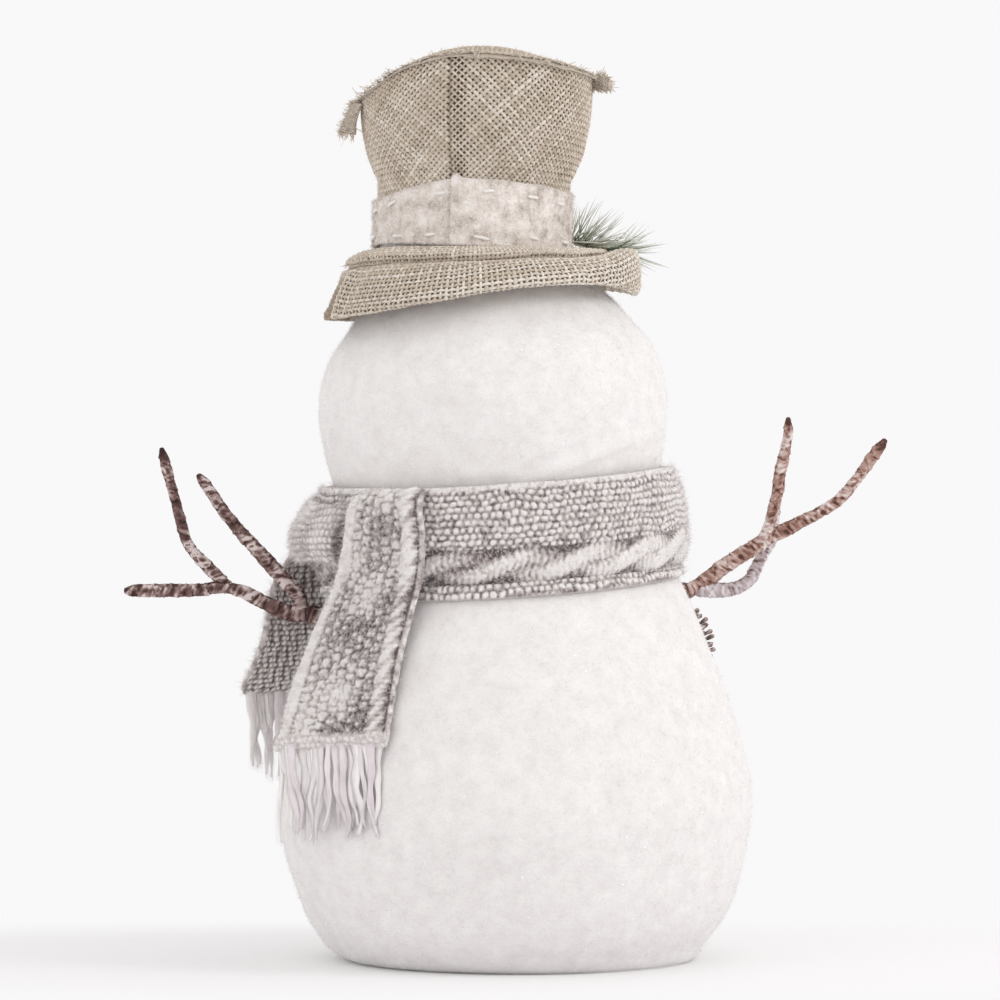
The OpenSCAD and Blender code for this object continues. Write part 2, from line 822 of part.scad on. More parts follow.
right_arm() binding(right_hub);  // right_binding
right_arm() main_twig(right_main, right_hub);  // right_main_twig
right_arm() branch(right_lower, right_main, twig_d - 0.4);  // right_lower_twig
right_arm() branch(right_finger, right_main, tip_d + 0.6);  // right_finger_twig
twine();
cone_core();
cone_scales();
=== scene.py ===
import math

import bpy
import numpy as np
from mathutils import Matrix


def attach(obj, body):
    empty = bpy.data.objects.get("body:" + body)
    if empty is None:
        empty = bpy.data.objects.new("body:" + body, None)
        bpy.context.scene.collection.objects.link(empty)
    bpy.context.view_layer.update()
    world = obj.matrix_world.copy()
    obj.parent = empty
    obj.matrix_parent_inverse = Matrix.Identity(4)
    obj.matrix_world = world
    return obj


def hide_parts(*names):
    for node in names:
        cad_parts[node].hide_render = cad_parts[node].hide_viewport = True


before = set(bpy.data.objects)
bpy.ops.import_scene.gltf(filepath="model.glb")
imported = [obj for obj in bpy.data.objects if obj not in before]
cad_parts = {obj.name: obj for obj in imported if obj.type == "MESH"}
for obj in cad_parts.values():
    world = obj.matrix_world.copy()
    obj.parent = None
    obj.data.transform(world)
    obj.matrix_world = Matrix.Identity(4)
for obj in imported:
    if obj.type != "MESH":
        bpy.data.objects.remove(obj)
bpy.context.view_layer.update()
print("frame loaded:", len(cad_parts), "nodes")

# Every length below is in millimetres; makePiece turns it to metres.

# ---- tools for shapes ----

noiseCells = 32
noiseTable = np.random.default_rng(5).uniform(-1, 1, (noiseCells,) * 3)


def lumps(points, size, seed=0):  # smooth noise from -1 to 1, with lumps about size mm across
    p = np.asarray(points, float) / size + seed * 7.31
    cell = np.floor(p).astype(int)
    part = p - cell
    part = part * part * (3 - 2 * part)
    total = 0
    for dx in (0, 1):
        for dy in (0, 1):
            for dz in (0, 1):
                share = np.prod(np.abs([1 - dx, 1 - dy, 1 - dz] - part), axis=-1)
                index = (cell + [dx, dy, dz]) % noiseCells
                total = total + share * noiseTable[index[..., 0], index[..., 1], index[..., 2]]
    return total


def smoothLine(points, steps):  # a smooth line through points, with steps between neighbours
    p = np.array(points, float)
    line = []
    for i in range(len(p) - 1):
        a, b, c, d = p[max(i - 1, 0)], p[i], p[i + 1], p[min(i + 2, len(p) - 1)]
        for t in np.arange(steps) / steps:
            line.append(b + (c - a) * t / 2 + (a - 2.5 * b + 2 * c - d / 2) * t * t
                        + (1.5 * b - a / 2 - 1.5 * c + d / 2) * t ** 3)
    return np.array(line + [p[-1]])


def evenly(line, gap):  # the same line with points gap mm apart
    run = np.concatenate([[0], np.cumsum(np.linalg.norm(np.diff(line, axis=0), axis=1))])
    marks = np.linspace(0, run[-1], max(2, int(round(run[-1] / gap)) + 1))
    return np.stack([np.interp(marks, run, line[:, k]) for k in range(line.shape[1])], -1)


def unit(v):
    return v / np.maximum(np.linalg.norm(v, axis=-1, keepdims=True), 1e-9)


def polar(side, r, z):  # side in degrees
    a = np.radians(side)
    return np.stack(np.broadcast_arrays(r * np.cos(a), r * np.sin(a), z), -1)


def tilted(points, degrees):  # turned about +Y
    a = math.radians(degrees)
    x, y, z = np.moveaxis(np.asarray(points, float), -1, 0)
    return np.stack([x * math.cos(a) + z * math.sin(a), y, z * math.cos(a) - x * math.sin(a)], -1)


def swung(points, degrees):  # turned about +Z
    a = math.radians(degrees)
    x, y, z = np.moveaxis(np.asarray(points, float), -1, 0)
    return np.stack([x * math.cos(a) - y * math.sin(a), x * math.sin(a) + y * math.cos(a), z], -1)


def normalsOf(grid, loopRows=False, loopColumns=False):  # of a grid of points, rows by columns
    def slope(axis, loop):
        if loop:
            return np.roll(grid, -1, axis) - np.roll(grid, 1, axis)
        return np.gradient(grid, axis=axis)
    return unit(np.cross(slope(1, loopColumns), slope(0, loopRows)))


def gridFaces(rows, columns, loopRows=False, loopColumns=False):
    i = np.arange(rows if loopRows else rows - 1)[:, None]
    j = np.arange(columns if loopColumns else columns - 1)[None, :]
    i2 = (i + 1) % rows
    j2 = (j + 1) % columns
    corners = [i * columns + j, i * columns + j2, i2 * columns + j2, i2 * columns + j]
    return np.stack(np.broadcast_arrays(*corners), -1).reshape(-1, 4)


def strands(paths, up, width, thick, sides, capped=True):
    # tubes along many paths at once: paths is (tubes, samples, 3); width and thick may vary along them
    along = unit(np.gradient(paths, axis=1))
    across = unit(np.cross(along, up))
    rise = np.cross(across, along)
    tubes, samples = paths.shape[:2]
    w = np.broadcast_to(width, (tubes, samples))[..., None, None] / 2
    h = np.broadcast_to(thick, (tubes, samples))[..., None, None] / 2
    turn = 2 * np.pi * np.arange(sides) / sides
    ring = (across[:, :, None] * w * np.cos(turn)[None, None, :, None]
            + rise[:, :, None] * h * np.sin(turn)[None, None, :, None])
    points = (paths[:, :, None] + ring).reshape(-1, 3)
    one = gridFaces(samples, sides, loopColumns=True)
    starts = (np.arange(tubes) * samples * sides)[:, None, None]
    faces = [(starts + one[None]).reshape(-1, 4)]
    if capped:
        first = np.arange(sides)[None, ::-1] + starts[:, :, 0]
        last = first[:, ::-1] + (samples - 1) * sides
        faces += [first, last]
    return points, faces


def skin(grid, loopRows=False):  # a grid of points as a shape that closes on itself along each row
    return grid, gridFaces(*grid.shape[:2], loopRows=loopRows, loopColumns=True)


def joined(*parts):  # several (points, faces) as one
    points, faces, start = [], [], 0
    for p, f in parts:
        points.append(p.reshape(-1, 3))
        faces += [x + start for x in (f if isinstance(f, list) else [f])]
        start += len(points[-1])
    return np.concatenate(points), faces


def fibres(base, out, count, look, seed, weight=None):
    # short curved hairs on a surface: base and out are its points and normals
    rng = np.random.default_rng(seed)
    base, out = base.reshape(-1, 3), out.reshape(-1, 3)
    pick = rng.choice(len(base), count, p=None if weight is None else weight.ravel() / weight.sum())
    n = out[pick]
    t = unit(np.cross(n, rng.normal(size=(count, 3))))
    bend = unit(np.cross(n, t) * rng.normal(size=(count, 1)) + t)
    length = look["length"] * rng.uniform(0.5, 1.3, (count, 1))
    stand = look["stand"] * rng.uniform(0.3, 1.3, (count, 1))
    root = base[pick] + look["spread"] * rng.normal(size=(count, 3)) * (1 - np.abs(n)) - 0.3 * n
    middle = root + length * (0.5 * t + 0.6 * stand * n)
    tip = middle + length * (0.5 * bend + 0.4 * stand * n)
    half = np.cross(t, n) * look["width"] * rng.uniform(0.35, 0.65, (count, 1))
    points = np.stack([root - half, root + half, middle - 0.8 * half, middle + 0.8 * half, tip], 1)
    first = (np.arange(count) * 5)[:, None]
    return points.reshape(-1, 3), [first + [[0, 1, 3, 2]], first + [[2, 3, 4]]]


def areaOf(grid):  # how much surface each point of a grid stands for
    return np.linalg.norm(np.cross(np.gradient(grid, axis=1), np.gradient(grid, axis=0)), axis=-1)


def makePiece(name, shape, material, place=None, body="root", tone=None, smooth=True):
    # shape is (points, faces), and place is the function that takes its points to their seat on the figure
    points, faces = shape
    if place:
        points = place(points)
    mesh = bpy.data.meshes.new(name)
    listed = [row for block in (faces if isinstance(faces, list) else [faces]) for row in block.tolist()]
    mesh.from_pydata((points.reshape(-1, 3) * 0.001).tolist(), [], listed)
    mesh.polygons.foreach_set("use_smooth", [smooth] * len(mesh.polygons))
    if tone is not None:
        held = mesh.attributes.new("tone", "FLOAT", "POINT")
        held.data.foreach_set("value", np.asarray(tone, np.float32).ravel())
    mesh.materials.append(material)
    piece = bpy.data.objects.new(name, mesh)
    bpy.context.scene.collection.objects.link(piece)
    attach(piece, body)
    return piece


# ---- tools for materials ----

def paint(hexColour):  # an sRGB hex value as the linear colour that a shader takes
    parts = [int(hexColour[i:i + 2], 16) / 255 for i in (1, 3, 5)]
    return [c / 12.92 if c <= 0.04045 else ((c + 0.055) / 1.055) ** 2.4 for c in parts] + [1.0]


def addNode(tree, kind, settings=None, inputs=None):
    # one shader node: settings are its own properties, inputs are values or the sockets that feed it
    made = tree.nodes.new("ShaderNode" + kind)
    for name, value in (settings or {}).items():
        if name == "stops":
            while len(made.color_ramp.elements) < len(value):
                made.color_ramp.elements.new(0.5)
            for element, (place, colour) in zip(made.color_ramp.elements, value):
                element.position = place
                element.color = paint(colour)
        else:
            setattr(made, name, value)
    for name, value in (inputs or {}).items():
        if isinstance(value, bpy.types.NodeSocket):
            tree.links.new(value, made.inputs[name])
        else:
            made.inputs[name].default_value = value
    return made


def newMaterial(name):
    material = bpy.data.materials.new(name)
    material.use_nodes = True
    material.node_tree.nodes.clear()
    return material, material.node_tree


def perMetre(size):  # the scale of a pattern whose marks are size mm apart
    return 1000 / size


# ---- camera, light and floor ----

studio = {
    "lensMm": 167.6,
    "cameraX": 12.35, "cameraY": 2300, "cameraZ": 226,
    "skyColour": "#fdfcfb", "skyStrength": 0.97, "behindColour": "#fdfcfd", "behindStrength": 0.97,
    "aimHeight": 230,
    "keyWatts": 12.5, "keyWidth": 900, "keyPlace": (-1980, 870, 1440),
    "fillWatts": 2.4, "fillWidth": 1200, "fillPlace": (1600, 1700, 700),
    "floorColour": "#f4f3f4", "floorReach": 6000, "floorSquares": 24, "floorDrop": 0.05,
    "floorGlow": 0.12, "fadeShape": (0.4, 1, 0), "fadeFrom": 110, "fadeTo": 235,
}

camera = bpy.data.objects.new("camera", bpy.data.cameras.new("camera"))
camera.data.lens = studio["lensMm"]
camera.data.sensor_width = 36
camera.data.clip_end = 50
camera.location = [studio[k] * 0.001 for k in ("cameraX", "cameraY", "cameraZ")]
camera.rotation_euler = (math.radians(90), 0, math.radians(180))
bpy.context.scene.collection.objects.link(camera)
bpy.context.scene.camera = camera
bpy.context.scene.view_settings.view_transform = "Standard"


def addSky():
    world = bpy.data.worlds.new("pale studio")
    bpy.context.scene.world = world
    world.use_nodes = True
    tree = world.node_tree
    tree.nodes.clear()
    ray = addNode(tree, "LightPath")
    light = addNode(tree, "Background", None, {
        "Color": paint(studio["skyColour"]), "Strength": studio["skyStrength"]})
    seen = addNode(tree, "Background", None, {
        "Color": paint(studio["behindColour"]), "Strength": studio["behindStrength"]})
    both = addNode(tree, "MixShader", None, {
        0: ray.outputs["Is Camera Ray"], 1: light.outputs[0], 2: seen.outputs[0]})
    addNode(tree, "OutputWorld", None, {"Surface": both.outputs[0]})


def addLamp(name, watts, width, place):
    lamp = bpy.data.lights.new(name, "AREA")
    lamp.energy = watts
    lamp.size = width * 0.001
    stand = bpy.data.objects.new(name, lamp)
    bpy.context.scene.collection.objects.link(stand)
    stand.location = [x * 0.001 for x in place]
    aim = np.array([0, 0, studio["aimHeight"]]) - place
    yaw = math.atan2(aim[1], aim[0]) - math.pi / 2
    drop = math.atan2(math.hypot(aim[0], aim[1]), -aim[2])
    stand.rotation_euler = (drop, 0, yaw)


def addFloor():
    material, tree = newMaterial("white vinyl backdrop, matt")  # pale and even, with only a soft shadow on it
    ray = addNode(tree, "LightPath")
    # away from the figure the floor runs into the backdrop with no edge
    place = addNode(tree, "TexCoord").outputs["Object"]
    flat = addNode(tree, "VectorMath", {"operation": "MULTIPLY"}, {0: place, 1: studio["fadeShape"]})
    far = addNode(tree, "VectorMath", {"operation": "LENGTH"}, {0: flat.outputs[0]})
    fade = addNode(tree, "MapRange", {"interpolation_type": "SMOOTHSTEP"}, {
        "Value": far.outputs["Value"], "To Min": studio["floorGlow"], "To Max": 1.0,
        "From Min": studio["fadeFrom"] * 0.001, "From Max": studio["fadeTo"] * 0.001})
    share = addNode(tree, "Math", {"operation": "MULTIPLY"},
                    {0: ray.outputs["Is Camera Ray"], 1: fade.outputs[0]})
    lit = addNode(tree, "BsdfDiffuse", None, {"Color": paint(studio["floorColour"])})
    glow = addNode(tree, "Emission", None, {
        "Color": paint(studio["behindColour"]), "Strength": studio["behindStrength"]})
    both = addNode(tree, "MixShader", None, {0: share.outputs[0], 1: lit.outputs[0], 2: glow.outputs[0]})
    addNode(tree, "OutputMaterial", None, {"Surface": both.outputs[0]})
    side = np.linspace(-studio["floorReach"], studio["floorReach"], studio["floorSquares"] + 1)
    x, y = np.meshgrid(side, side)
    mesh = bpy.data.meshes.new("floor")
    points = np.stack([x, y, 0 * x - studio["floorDrop"]], -1).reshape(-1, 3) * 0.001
    mesh.from_pydata(points.tolist(), [], gridFaces(len(side), len(side)).tolist())
    mesh.materials.append(material)
    floor = bpy.data.objects.new("floor", mesh)
    bpy.context.scene.collection.objects.link(floor)


addSky()
addLamp("key", studio["keyWatts"], studio["keyWidth"], studio["keyPlace"])
addLamp("fill", studio["fillWatts"], studio["fillWidth"], studio["fillPlace"])
addFloor()
print("camera, light and floor ready")

# ---- materials ----

# matt fibres: light scatters between them, so there is a soft rim and no gloss
cloth = {"mottleDetail": 5.0, "mottleRough": 0.62, "detail": 3.0, "rough": 0.5, "swirl": 0.0,
         "fineShare": 0.35, "bump": 0.4, "depth": 0.3, "roughness": 0.92, "sheen": 0.25, "sheenRough": 0.6,
         "gloss": 0.2}
# wound or dried stuff, painted and dry brushed: dark in the creases and frosted on the ridges
bark = {"mottleDetail": 4.0, "mottleRough": 0.6, "detail": 6.0, "rough": 0.7, "swirl": 0.6, "fineShare": 0.5,
        "bump": 0.5, "depth": 0.3, "sheen": 0.0, "sheenRough": 0.5, "gloss": 0.35}
# moulded or pressed stuff: a colour mottled at its own scale, with a fine tooth
plain = {"detail": 5.0, "rough": 0.65, "swirl": 0.0, "depth": 0.4, "sheen": 0.0, "sheenRough": 0.5,
         "gloss": 0.5}


def mottled(name, kind, look):
    # mottle and fibre are the sizes in mm of the broad and the fine marks, and tone is the share that a
    # piece's own tone has in its colour
    look = {**kind, **look}
    material, tree = newMaterial(name)
    place = addNode(tree, "TexCoord").outputs["Object"]
    fine = addNode(tree, "TexNoise", None, {
        "Vector": place, "Scale": perMetre(look["fibre"]), "Detail": look["detail"],
        "Roughness": look["rough"], "Distortion": look["swirl"]}).outputs["Fac"]
    shade = fine
    if "mottle" in look:
        broad = addNode(tree, "TexNoise", None, {
            "Vector": place, "Scale": perMetre(look["mottle"]), "Detail": look["mottleDetail"],
            "Roughness": look["mottleRough"]}).outputs["Fac"]
        shade = addNode(tree, "Mix", {"data_type": "FLOAT"},
                        {0: look["fineShare"], 2: broad, 3: fine}).outputs[0]
    if "tone" in look:
        tone = addNode(tree, "Attribute", {"attribute_name": "tone"}).outputs["Fac"]
        shade = addNode(tree, "Mix", {"data_type": "FLOAT"}, {0: look["tone"], 2: shade, 3: tone}).outputs[0]
    colour = addNode(tree, "ValToRGB", {"stops": look["colours"]}, {"Fac": shade})
    bump = addNode(tree, "Bump", None,
                   {"Height": fine, "Strength": look["bump"], "Distance": look["depth"] * 0.001})
    shader = addNode(tree, "BsdfPrincipled", None, {
        "Base Color": colour.outputs["Color"], "Roughness": look["roughness"], "Sheen Weight": look["sheen"],
        "Sheen Roughness": look["sheenRough"], "Specular IOR Level": look["gloss"],
        "Normal": bump.outputs["Normal"]})
    addNode(tree, "OutputMaterial", None, {"Surface": shader.outputs[0]})
    return material


# brushed polyester fleece: short white fibres that leave it soft and faintly mottled
fleece = mottled("polyester fleece, brushed", cloth, {
    "mottle": 9, "fibre": 0.9, "colours": [(0.3, "#e2dedd"), (0.5, "#ebe8e7"), (0.7, "#f3f1f0")],
    "bump": 0.5, "depth": 0.35})
# the same pile standing loose, a little paler where it catches light
fleecePile = mottled("polyester fleece, pile", cloth, {
    "mottle": 9, "fibre": 2, "colours": [(0.3, "#e9e6e5"), (0.7, "#f6f4f4")], "bump": 0.0})
# acrylic and wool yarn, knitted: grey with white flecks, and brown-grey painted shade in the hollows
knit = mottled("wool blend yarn, knitted", cloth, {
    "mottle": 1.7, "fibre": 0.7, "fineShare": 0.6, "tone": 0.5,
    "colours": [(0.27, "#5d5151"), (0.4, "#978d8c"), (0.51, "#c9c1bf"), (0.64, "#f0ecea")],
    "bump": 1.0, "depth": 0.45})
# the halo of stray fibres on the knitting
knitFuzz = mottled("wool blend yarn, loose fibres", cloth, {
    "mottle": 4, "fibre": 1, "colours": [(0.3, "#b9afae"), (0.7, "#f0eceb")], "bump": 0.0})
# unspun roving, combed: white and pale lilac, long soft fibres with a slight gloss
roving = mottled("acrylic roving, combed", cloth, {
    "mottle": 5, "fibre": 0.6, "tone": 0.6, "roughness": 0.7,
    "colours": [(0.12, "#d6cad3"), (0.3, "#ebe4e6"), (0.55, "#faf7f6")], "bump": 0.5, "depth": 0.3})
# jute burlap, plain woven: coarse beige threads of uneven tone
burlap = mottled("jute burlap, plain woven", cloth, {
    "mottle": 1.6, "fibre": 0.4, "fineShare": 0.3, "tone": 0.45,
    "colours": [(0.15, "#a08e7b"), (0.4, "#c2b3a0"), (0.6, "#d6cabc"), (0.8, "#ebe3d8")],
    "bump": 0.6, "depth": 0.25})
# a lining of the same cloth behind the crown's weave, dark brown as painted shade for the hat's shadowed
# inside
burlapShade = mottled("jute burlap, inner ply in painted shade", cloth, {
    "mottle": 3, "fibre": 0.6, "colours": [(0.3, "#5f5242"), (0.7, "#7d6e5c")], "bump": 0.5})
# the layer seen through the brim's weave, darker than its threads: painted shade in the gaps of the weave
burlapMid = mottled("jute burlap, middle ply in painted shade", cloth, {
    "mottle": 3, "fibre": 0.6, "colours": [(0.3, "#7a6b59"), (0.7, "#a19280")], "bump": 0.5})
# raw edges and stray hairs, paler than the cloth because light gets between them
burlapHair = mottled("jute burlap, loose hairs", cloth, {
    "mottle": 3, "fibre": 1, "colours": [(0.3, "#b7a998"), (0.7, "#dcd3c7")], "bump": 0.0})
burlapPale = mottled("jute burlap, frayed ply", cloth, {
    "mottle": 2, "fibre": 0.5, "fineShare": 0.5,
    "colours": [(0.3, "#a39584"), (0.5, "#bdb1a2"), (0.7, "#d6cdc1")],
    "bump": 0.8, "depth": 0.5})
feltFuzz = mottled("wool felt, loose fibres", cloth, {
    "mottle": 5, "fibre": 1, "colours": [(0.35, "#d8cfc8"), (0.65, "#ece7e3")], "bump": 0.0})
# pressed wool felt: matted fibres, pale with grey-brown smudges
felt = mottled("wool felt, pressed", cloth, {
    "mottle": 8, "fibre": 0.7, "fineShare": 0.28,
    "colours": [(0.38, "#b0a49b"), (0.46, "#d6ccc4"), (0.54, "#e9e1db"), (0.66, "#f3eeeb")],
    "bump": 0.6, "depth": 0.3})
# soft spun cotton: off-white and matt, with a faint ply
stitchYarn = mottled("cotton yarn, spun", cloth, {
    "mottle": 2, "fibre": 0.5, "colours": [(0.3, "#e4dfdb"), (0.7, "#f5f2ef")], "bump": 0.5})
print("cloth materials ready")

# ---- head and body ----

figure = {"lean": 3.4, "headZ": 273.5}

bodyLine = smoothLine([
    [86, -8], [87, 1], [101, 18], [110, 40], [116.5, 74], [109.5, 117], [96.5, 157], [87.5, 181], [79, 192],
    [66, 200], [56, 206]], 12)
headLine = smoothLine([
    [56, -67.5], [66, -60.5], [75.5, -47], [82, -30], [86, -6], [84.5, 12], [79.5, 26], [70, 39], [60, 51],
    [42, 65.5], [26, 74], [0.4, 79]], 12)


def leaned(points):
    return tilted(points, figure["lean"])


def radiusAt(line, z):
    return np.interp(z, line[:, 1], line[:, 0])


def bodyR(z):
    return np.where(np.asarray(z) > bodyLine[-1, 1], 0, radiusAt(bodyLine, z))


def surfaceR(z):  # the head and body together
    z = np.asarray(z, float)
    rel = z - figure["headZ"]
    headR = np.where((rel < headLine[0, 1]) | (rel > headLine[-1, 1]), 0, radiusAt(headLine, rel))
    return np.maximum(bodyR(z), headR)


fleeceLook = {
    "columns": 330, "rowGap": 2.1, "floorGap": 0.3, "underGap": 0.12, "underSteps": (3.0, 1.5),
    "stuffing": 1.1, "stuffingSize": 46, "dents": 0.35, "dentSize": 13, "nap": 0.14, "napSize": 2.6,
    "gathers": 1.3, "gatherCount": 34, "gatherReach": 13,
    "turnUnder": 4.5,
    "pleats": [(-46, 245, -0.3, 30, 3.4, 2.2), (-38, 253, -0.42, 22, 3.0, 1.1),
               (-30, 235, -0.12, 26, 2.6, 0.9),
               (-15, 285, -0.8, 9, 2.2, 0.7), (4, 240, 0.16, 20, 2.8, 0.6)],
    "pile": {"length": 2.6, "stand": 0.55, "width": 0.16, "spread": 0.9},
    "bodyPile": 60000, "headPile": 40000, "bareAbove": 0.86,
    "glitter": 3600, "glitterSize": 0.42, "glitterLift": 0.9, "glitterTilt": 0.7,
}


def fleeceRelief(points, seed):
    look = fleeceLook
    return (look["stuffing"] * lumps(points, look["stuffingSize"], seed)
            + look["dents"] * lumps(points, look["dentSize"], seed + 1)
            + look["nap"] * lumps(points, look["napSize"], seed + 2))


def fleeceGrid(line, onFloor):
    # rows up the outline, columns round it
    look = fleeceLook
    side = np.arange(look["columns"]) * 360 / look["columns"]
    fine = evenly(line, 0.5)
    run = np.arange(len(fine)) * 0.5
    x = fine[:, :1] * np.cos(np.radians(side))
    lean = math.radians(figure["lean"])
    high = fine[:, 1:] * math.cos(lean) - x * math.sin(lean)
    if onFloor:
        start = np.array([np.interp(look["floorGap"], high[:, j], run) for j in range(len(side))])
    else:
        start = np.zeros(len(side))
    rows = int(run[-1] / look["rowGap"])
    share = np.linspace(0, 1, rows)[:, None]
    at = start + (run[-1] - start) * share
    r = np.interp(at, run, fine[:, 0])
    z = np.interp(at, run, fine[:, 1])
    grid = polar(side[None, :], r, z)
    out = normalsOf(grid, loopColumns=True)
    return grid, out, at, run[-1]


def addGlitter(name, grid, out, count, seed):
    # cut film flakes caught in the pile, each tilted its own way
    look = fleeceLook
    rng = np.random.default_rng(seed)
    weight = areaOf(grid).ravel()
    pick = rng.choice(len(weight), count, p=weight / weight.sum())
    points, normals = grid.reshape(-1, 3)[pick], out.reshape(-1, 3)[pick]
    facing = unit(normals + look["glitterTilt"] * rng.normal(size=(count, 3)))
    a = unit(np.cross(facing, rng.normal(size=(count, 3)))) * look["glitterSize"] / 2
    b = unit(np.cross(facing, a)) * look["glitterSize"] / 2
    middle = points + look["glitterLift"] * (normals + rng.normal(size=(count, 3)) * (1 - np.abs(normals)))
    corners = np.stack([middle + a, middle + b, middle - a, middle - b], 1)
    faces = np.arange(count * 4).reshape(-1, 4)
    makePiece(name, (corners, faces), glitterFilm, leaned, smooth=False)


# metallised polyester film, die cut: mirror bright on the flake that faces a lamp
glitterFilm, filmTree = newMaterial("polyester glitter film, metallised")
filmShader = addNode(filmTree, "BsdfPrincipled", None, {
    "Base Color": paint("#f4f5f8"), "Metallic": 0.85, "Roughness": 0.22})
addNode(filmTree, "OutputMaterial", None, {"Surface": filmShader.outputs[0]})


def gathered(grid, toSeam, seed):  # small tucks drawn up by the stitching, fading away from the seam
    side = np.degrees(np.arctan2(grid[..., 1], grid[..., 0]))
    tuck = fleeceLook["gathers"] * np.exp(-toSeam / fleeceLook["gatherReach"])
    return tuck * np.sin(np.radians(side * fleeceLook["gatherCount"]) + 2 * lumps(grid, 30, seed))


def addBody():
    look = fleeceLook
    grid, out, at, end = fleeceGrid(bodyLine, True)
    relief = fleeceRelief(grid, 1) + gathered(grid, end - at, 4)
    grid = leaned(grid + out * relief[..., None])
    bend = look["turnUnder"]  # the radius at which the cloth turns under the base
    high = np.clip(grid[..., 2], 0, bend)
    inward = bend - np.sqrt(np.maximum(0, bend ** 2 - (bend - high) ** 2))
    flat = unit(grid[..., :2] - grid[..., :2].mean(1, keepdims=True))
    grid[..., :2] -= flat * inward[..., None]
    grid[..., 2] = np.maximum(grid[..., 2], 0.15)
    under = []
    for step in look["underSteps"]:
        ring = grid[:1].copy()
        ring[..., :2] -= flat[:1] * step
        ring[..., 2] = look["underGap"]
        under.append(ring)
    cover = makePiece("fleeceBody", skin(np.concatenate(under + [grid])), fleece)
    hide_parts("body_cover")
    upright = tilted(grid[2:], -figure["lean"])
    normals = normalsOf(upright, loopColumns=True)
    pile = fibres(upright, normals, look["bodyPile"], look["pile"], 11, areaOf(upright))
    points = leaned(pile[0])
    points[:, 2] = np.maximum(points[:, 2], 0.1)
    makePiece("fleeceBodyPile", (points, pile[1]), fleecePile)
    addGlitter("bodyGlitter", upright, normals, look["glitter"], 12)


def addHead():
    look = fleeceLook
    line = headLine + [0, figure["headZ"]]
    grid, out, at, _ = fleeceGrid(line, False)
    relief = fleeceRelief(grid, 5) + gathered(grid, at, 6)
    # slack cloth pushed up in pleats where the scarf presses on it
    for x, z, slope, long, wide, high in look["pleats"]:
        across = grid[..., 2] - z - slope * (grid[..., 0] - x) + 1.2 * lumps(grid, 14, 7)
        window = np.exp(-((grid[..., 0] - x) / long) ** 4) * (grid[..., 1] > 0)
        relief = relief + high * window * np.exp(-(across / wide) ** 2)
    grid = grid + out * relief[..., None]
    cover = makePiece("fleeceHead", skin(grid), fleece, leaned)
    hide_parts("head_cover")
    normals = normalsOf(grid, loopColumns=True)
    low = grid[:int(len(grid) * look["bareAbove"])]  # no pile where the hat covers it
    pile = fibres(low, normals[:len(low)], look["headPile"], look["pile"], 13, areaOf(low))
    makePiece("fleeceHeadPile", pile, fleecePile, leaned)
    addGlitter("headGlitter", low, normals[:len(low)], look["glitter"] // 2, 14)


addBody()
addHead()
print("head and body sewn")

# ---- scarf ----

scarf = {
    "width": 52, "thick": 9, "height": 211, "sag": 2.5, "slope": 2, "edge": 2.5, "wrapR": 90.5, "seat": 0.3,
    "stitchWide": 3.7, "stitchHigh": 3.1, "stitchRelief": 1.35,
    "cableMiddle": 14.5, "cableSwing": 4.2, "cableLobe": 35, "cableStrand": 5.2, "cableRelief": 1.9,
    "cableHalf": 9.2, "cableShade": 0.6, "sideShade": 0.1, "toneLift": 0.17, "insideTone": 0.45,
    "swell": 1.1, "swellSize": 24, "bow": 6, "lip": 2.6, "sampleGap": 0.62,
    "tailThick": 7, "tailWidth": 58, "tailRise": 22, "rollWidth": 9, "roll": 1.5, "hem": 7,
    "frontLength": 96, "rearLength": 120,
    "fuzz": {"length": 3.4, "stand": 0.75, "width": 0.17, "spread": 0.5},
}
bandArc = math.radians(1) * scarf["wrapR"]  # length along the band for one degree round it


def bandZ(side, t):
    a = np.radians(side)
    return (scarf["height"] - scarf["sag"] * (1 - np.cos(2 * a)) / 2 - scarf["slope"] * np.sin(a)
            + (t - 0.5) * scarf["width"])


def bandOuter(side, t):
    free = surfaceR(bandZ(side, t)) + 2 * scarf["seat"] + scarf["edge"]
    return np.maximum(free, scarf["wrapR"] - scarf["bow"] * (2 * t - 1) ** 2)


def dressedR(side, z):  # head, body and band together
    t = (z - bandZ(side, 0)) / scarf["width"]
    on = (t >= 0) & (t <= 1)
    return np.where(on, np.maximum(surfaceR(z), bandOuter(side, np.clip(t, 0, 1))), surfaceR(z))


def clearOf(p, room):  # moves points straight out until they are room clear of what lies under them
    side = np.degrees(np.arctan2(p[..., 1], p[..., 0]))
    r = np.hypot(p[..., 0], p[..., 1])
    need = np.maximum(r, dressedR(side, p[..., 2]) + room)
    return polar(side, need, p[..., 2])


def bobbles(s, h, wide, high, seed):  # seed stitch: small raised beads, each row half a stitch along
    spot = np.stack([s, h, 0 * s], -1)
    s = s + 0.95 * lumps(spot, 4.5, seed) + 1.3 * lumps(spot, 15, seed + 5)
    h = h + 0.75 * lumps(spot, 4.8, seed + 1) + 1.1 * lumps(spot, 17, seed + 6)
    row = np.floor(h / high)
    u = (s / wide + 0.5 * row) % 1 - 0.5
    v = h / high - row - 0.5
    bead = (np.cos(np.pi * u) ** 2 * np.cos(np.pi * v) ** 2) ** 0.5
    return bead * (1 + 0.55 * lumps(spot, 3.0, seed + 2)) + 0.2 * lumps(spot, 1.4, seed + 3)


def cable(s, y, lobe, swing, half):  # two ropes of smooth stitches that cross once in each lobe
    turn = np.pi * s / lobe
    height = np.zeros_like(s)
    for sign in (1, -1):
        off = (y - sign * swing * np.sin(turn)) / half
        rope = np.sqrt(np.maximum(0, 1 - off * off)) * (0.74 + 0.26 * sign * np.cos(turn))
        vee = 0.13 * np.cos(2 * np.pi * (s + np.abs(off) * 1.6 * sign) / 3.2)
        height = np.maximum(height, rope + vee * (rope > 0))
    return height


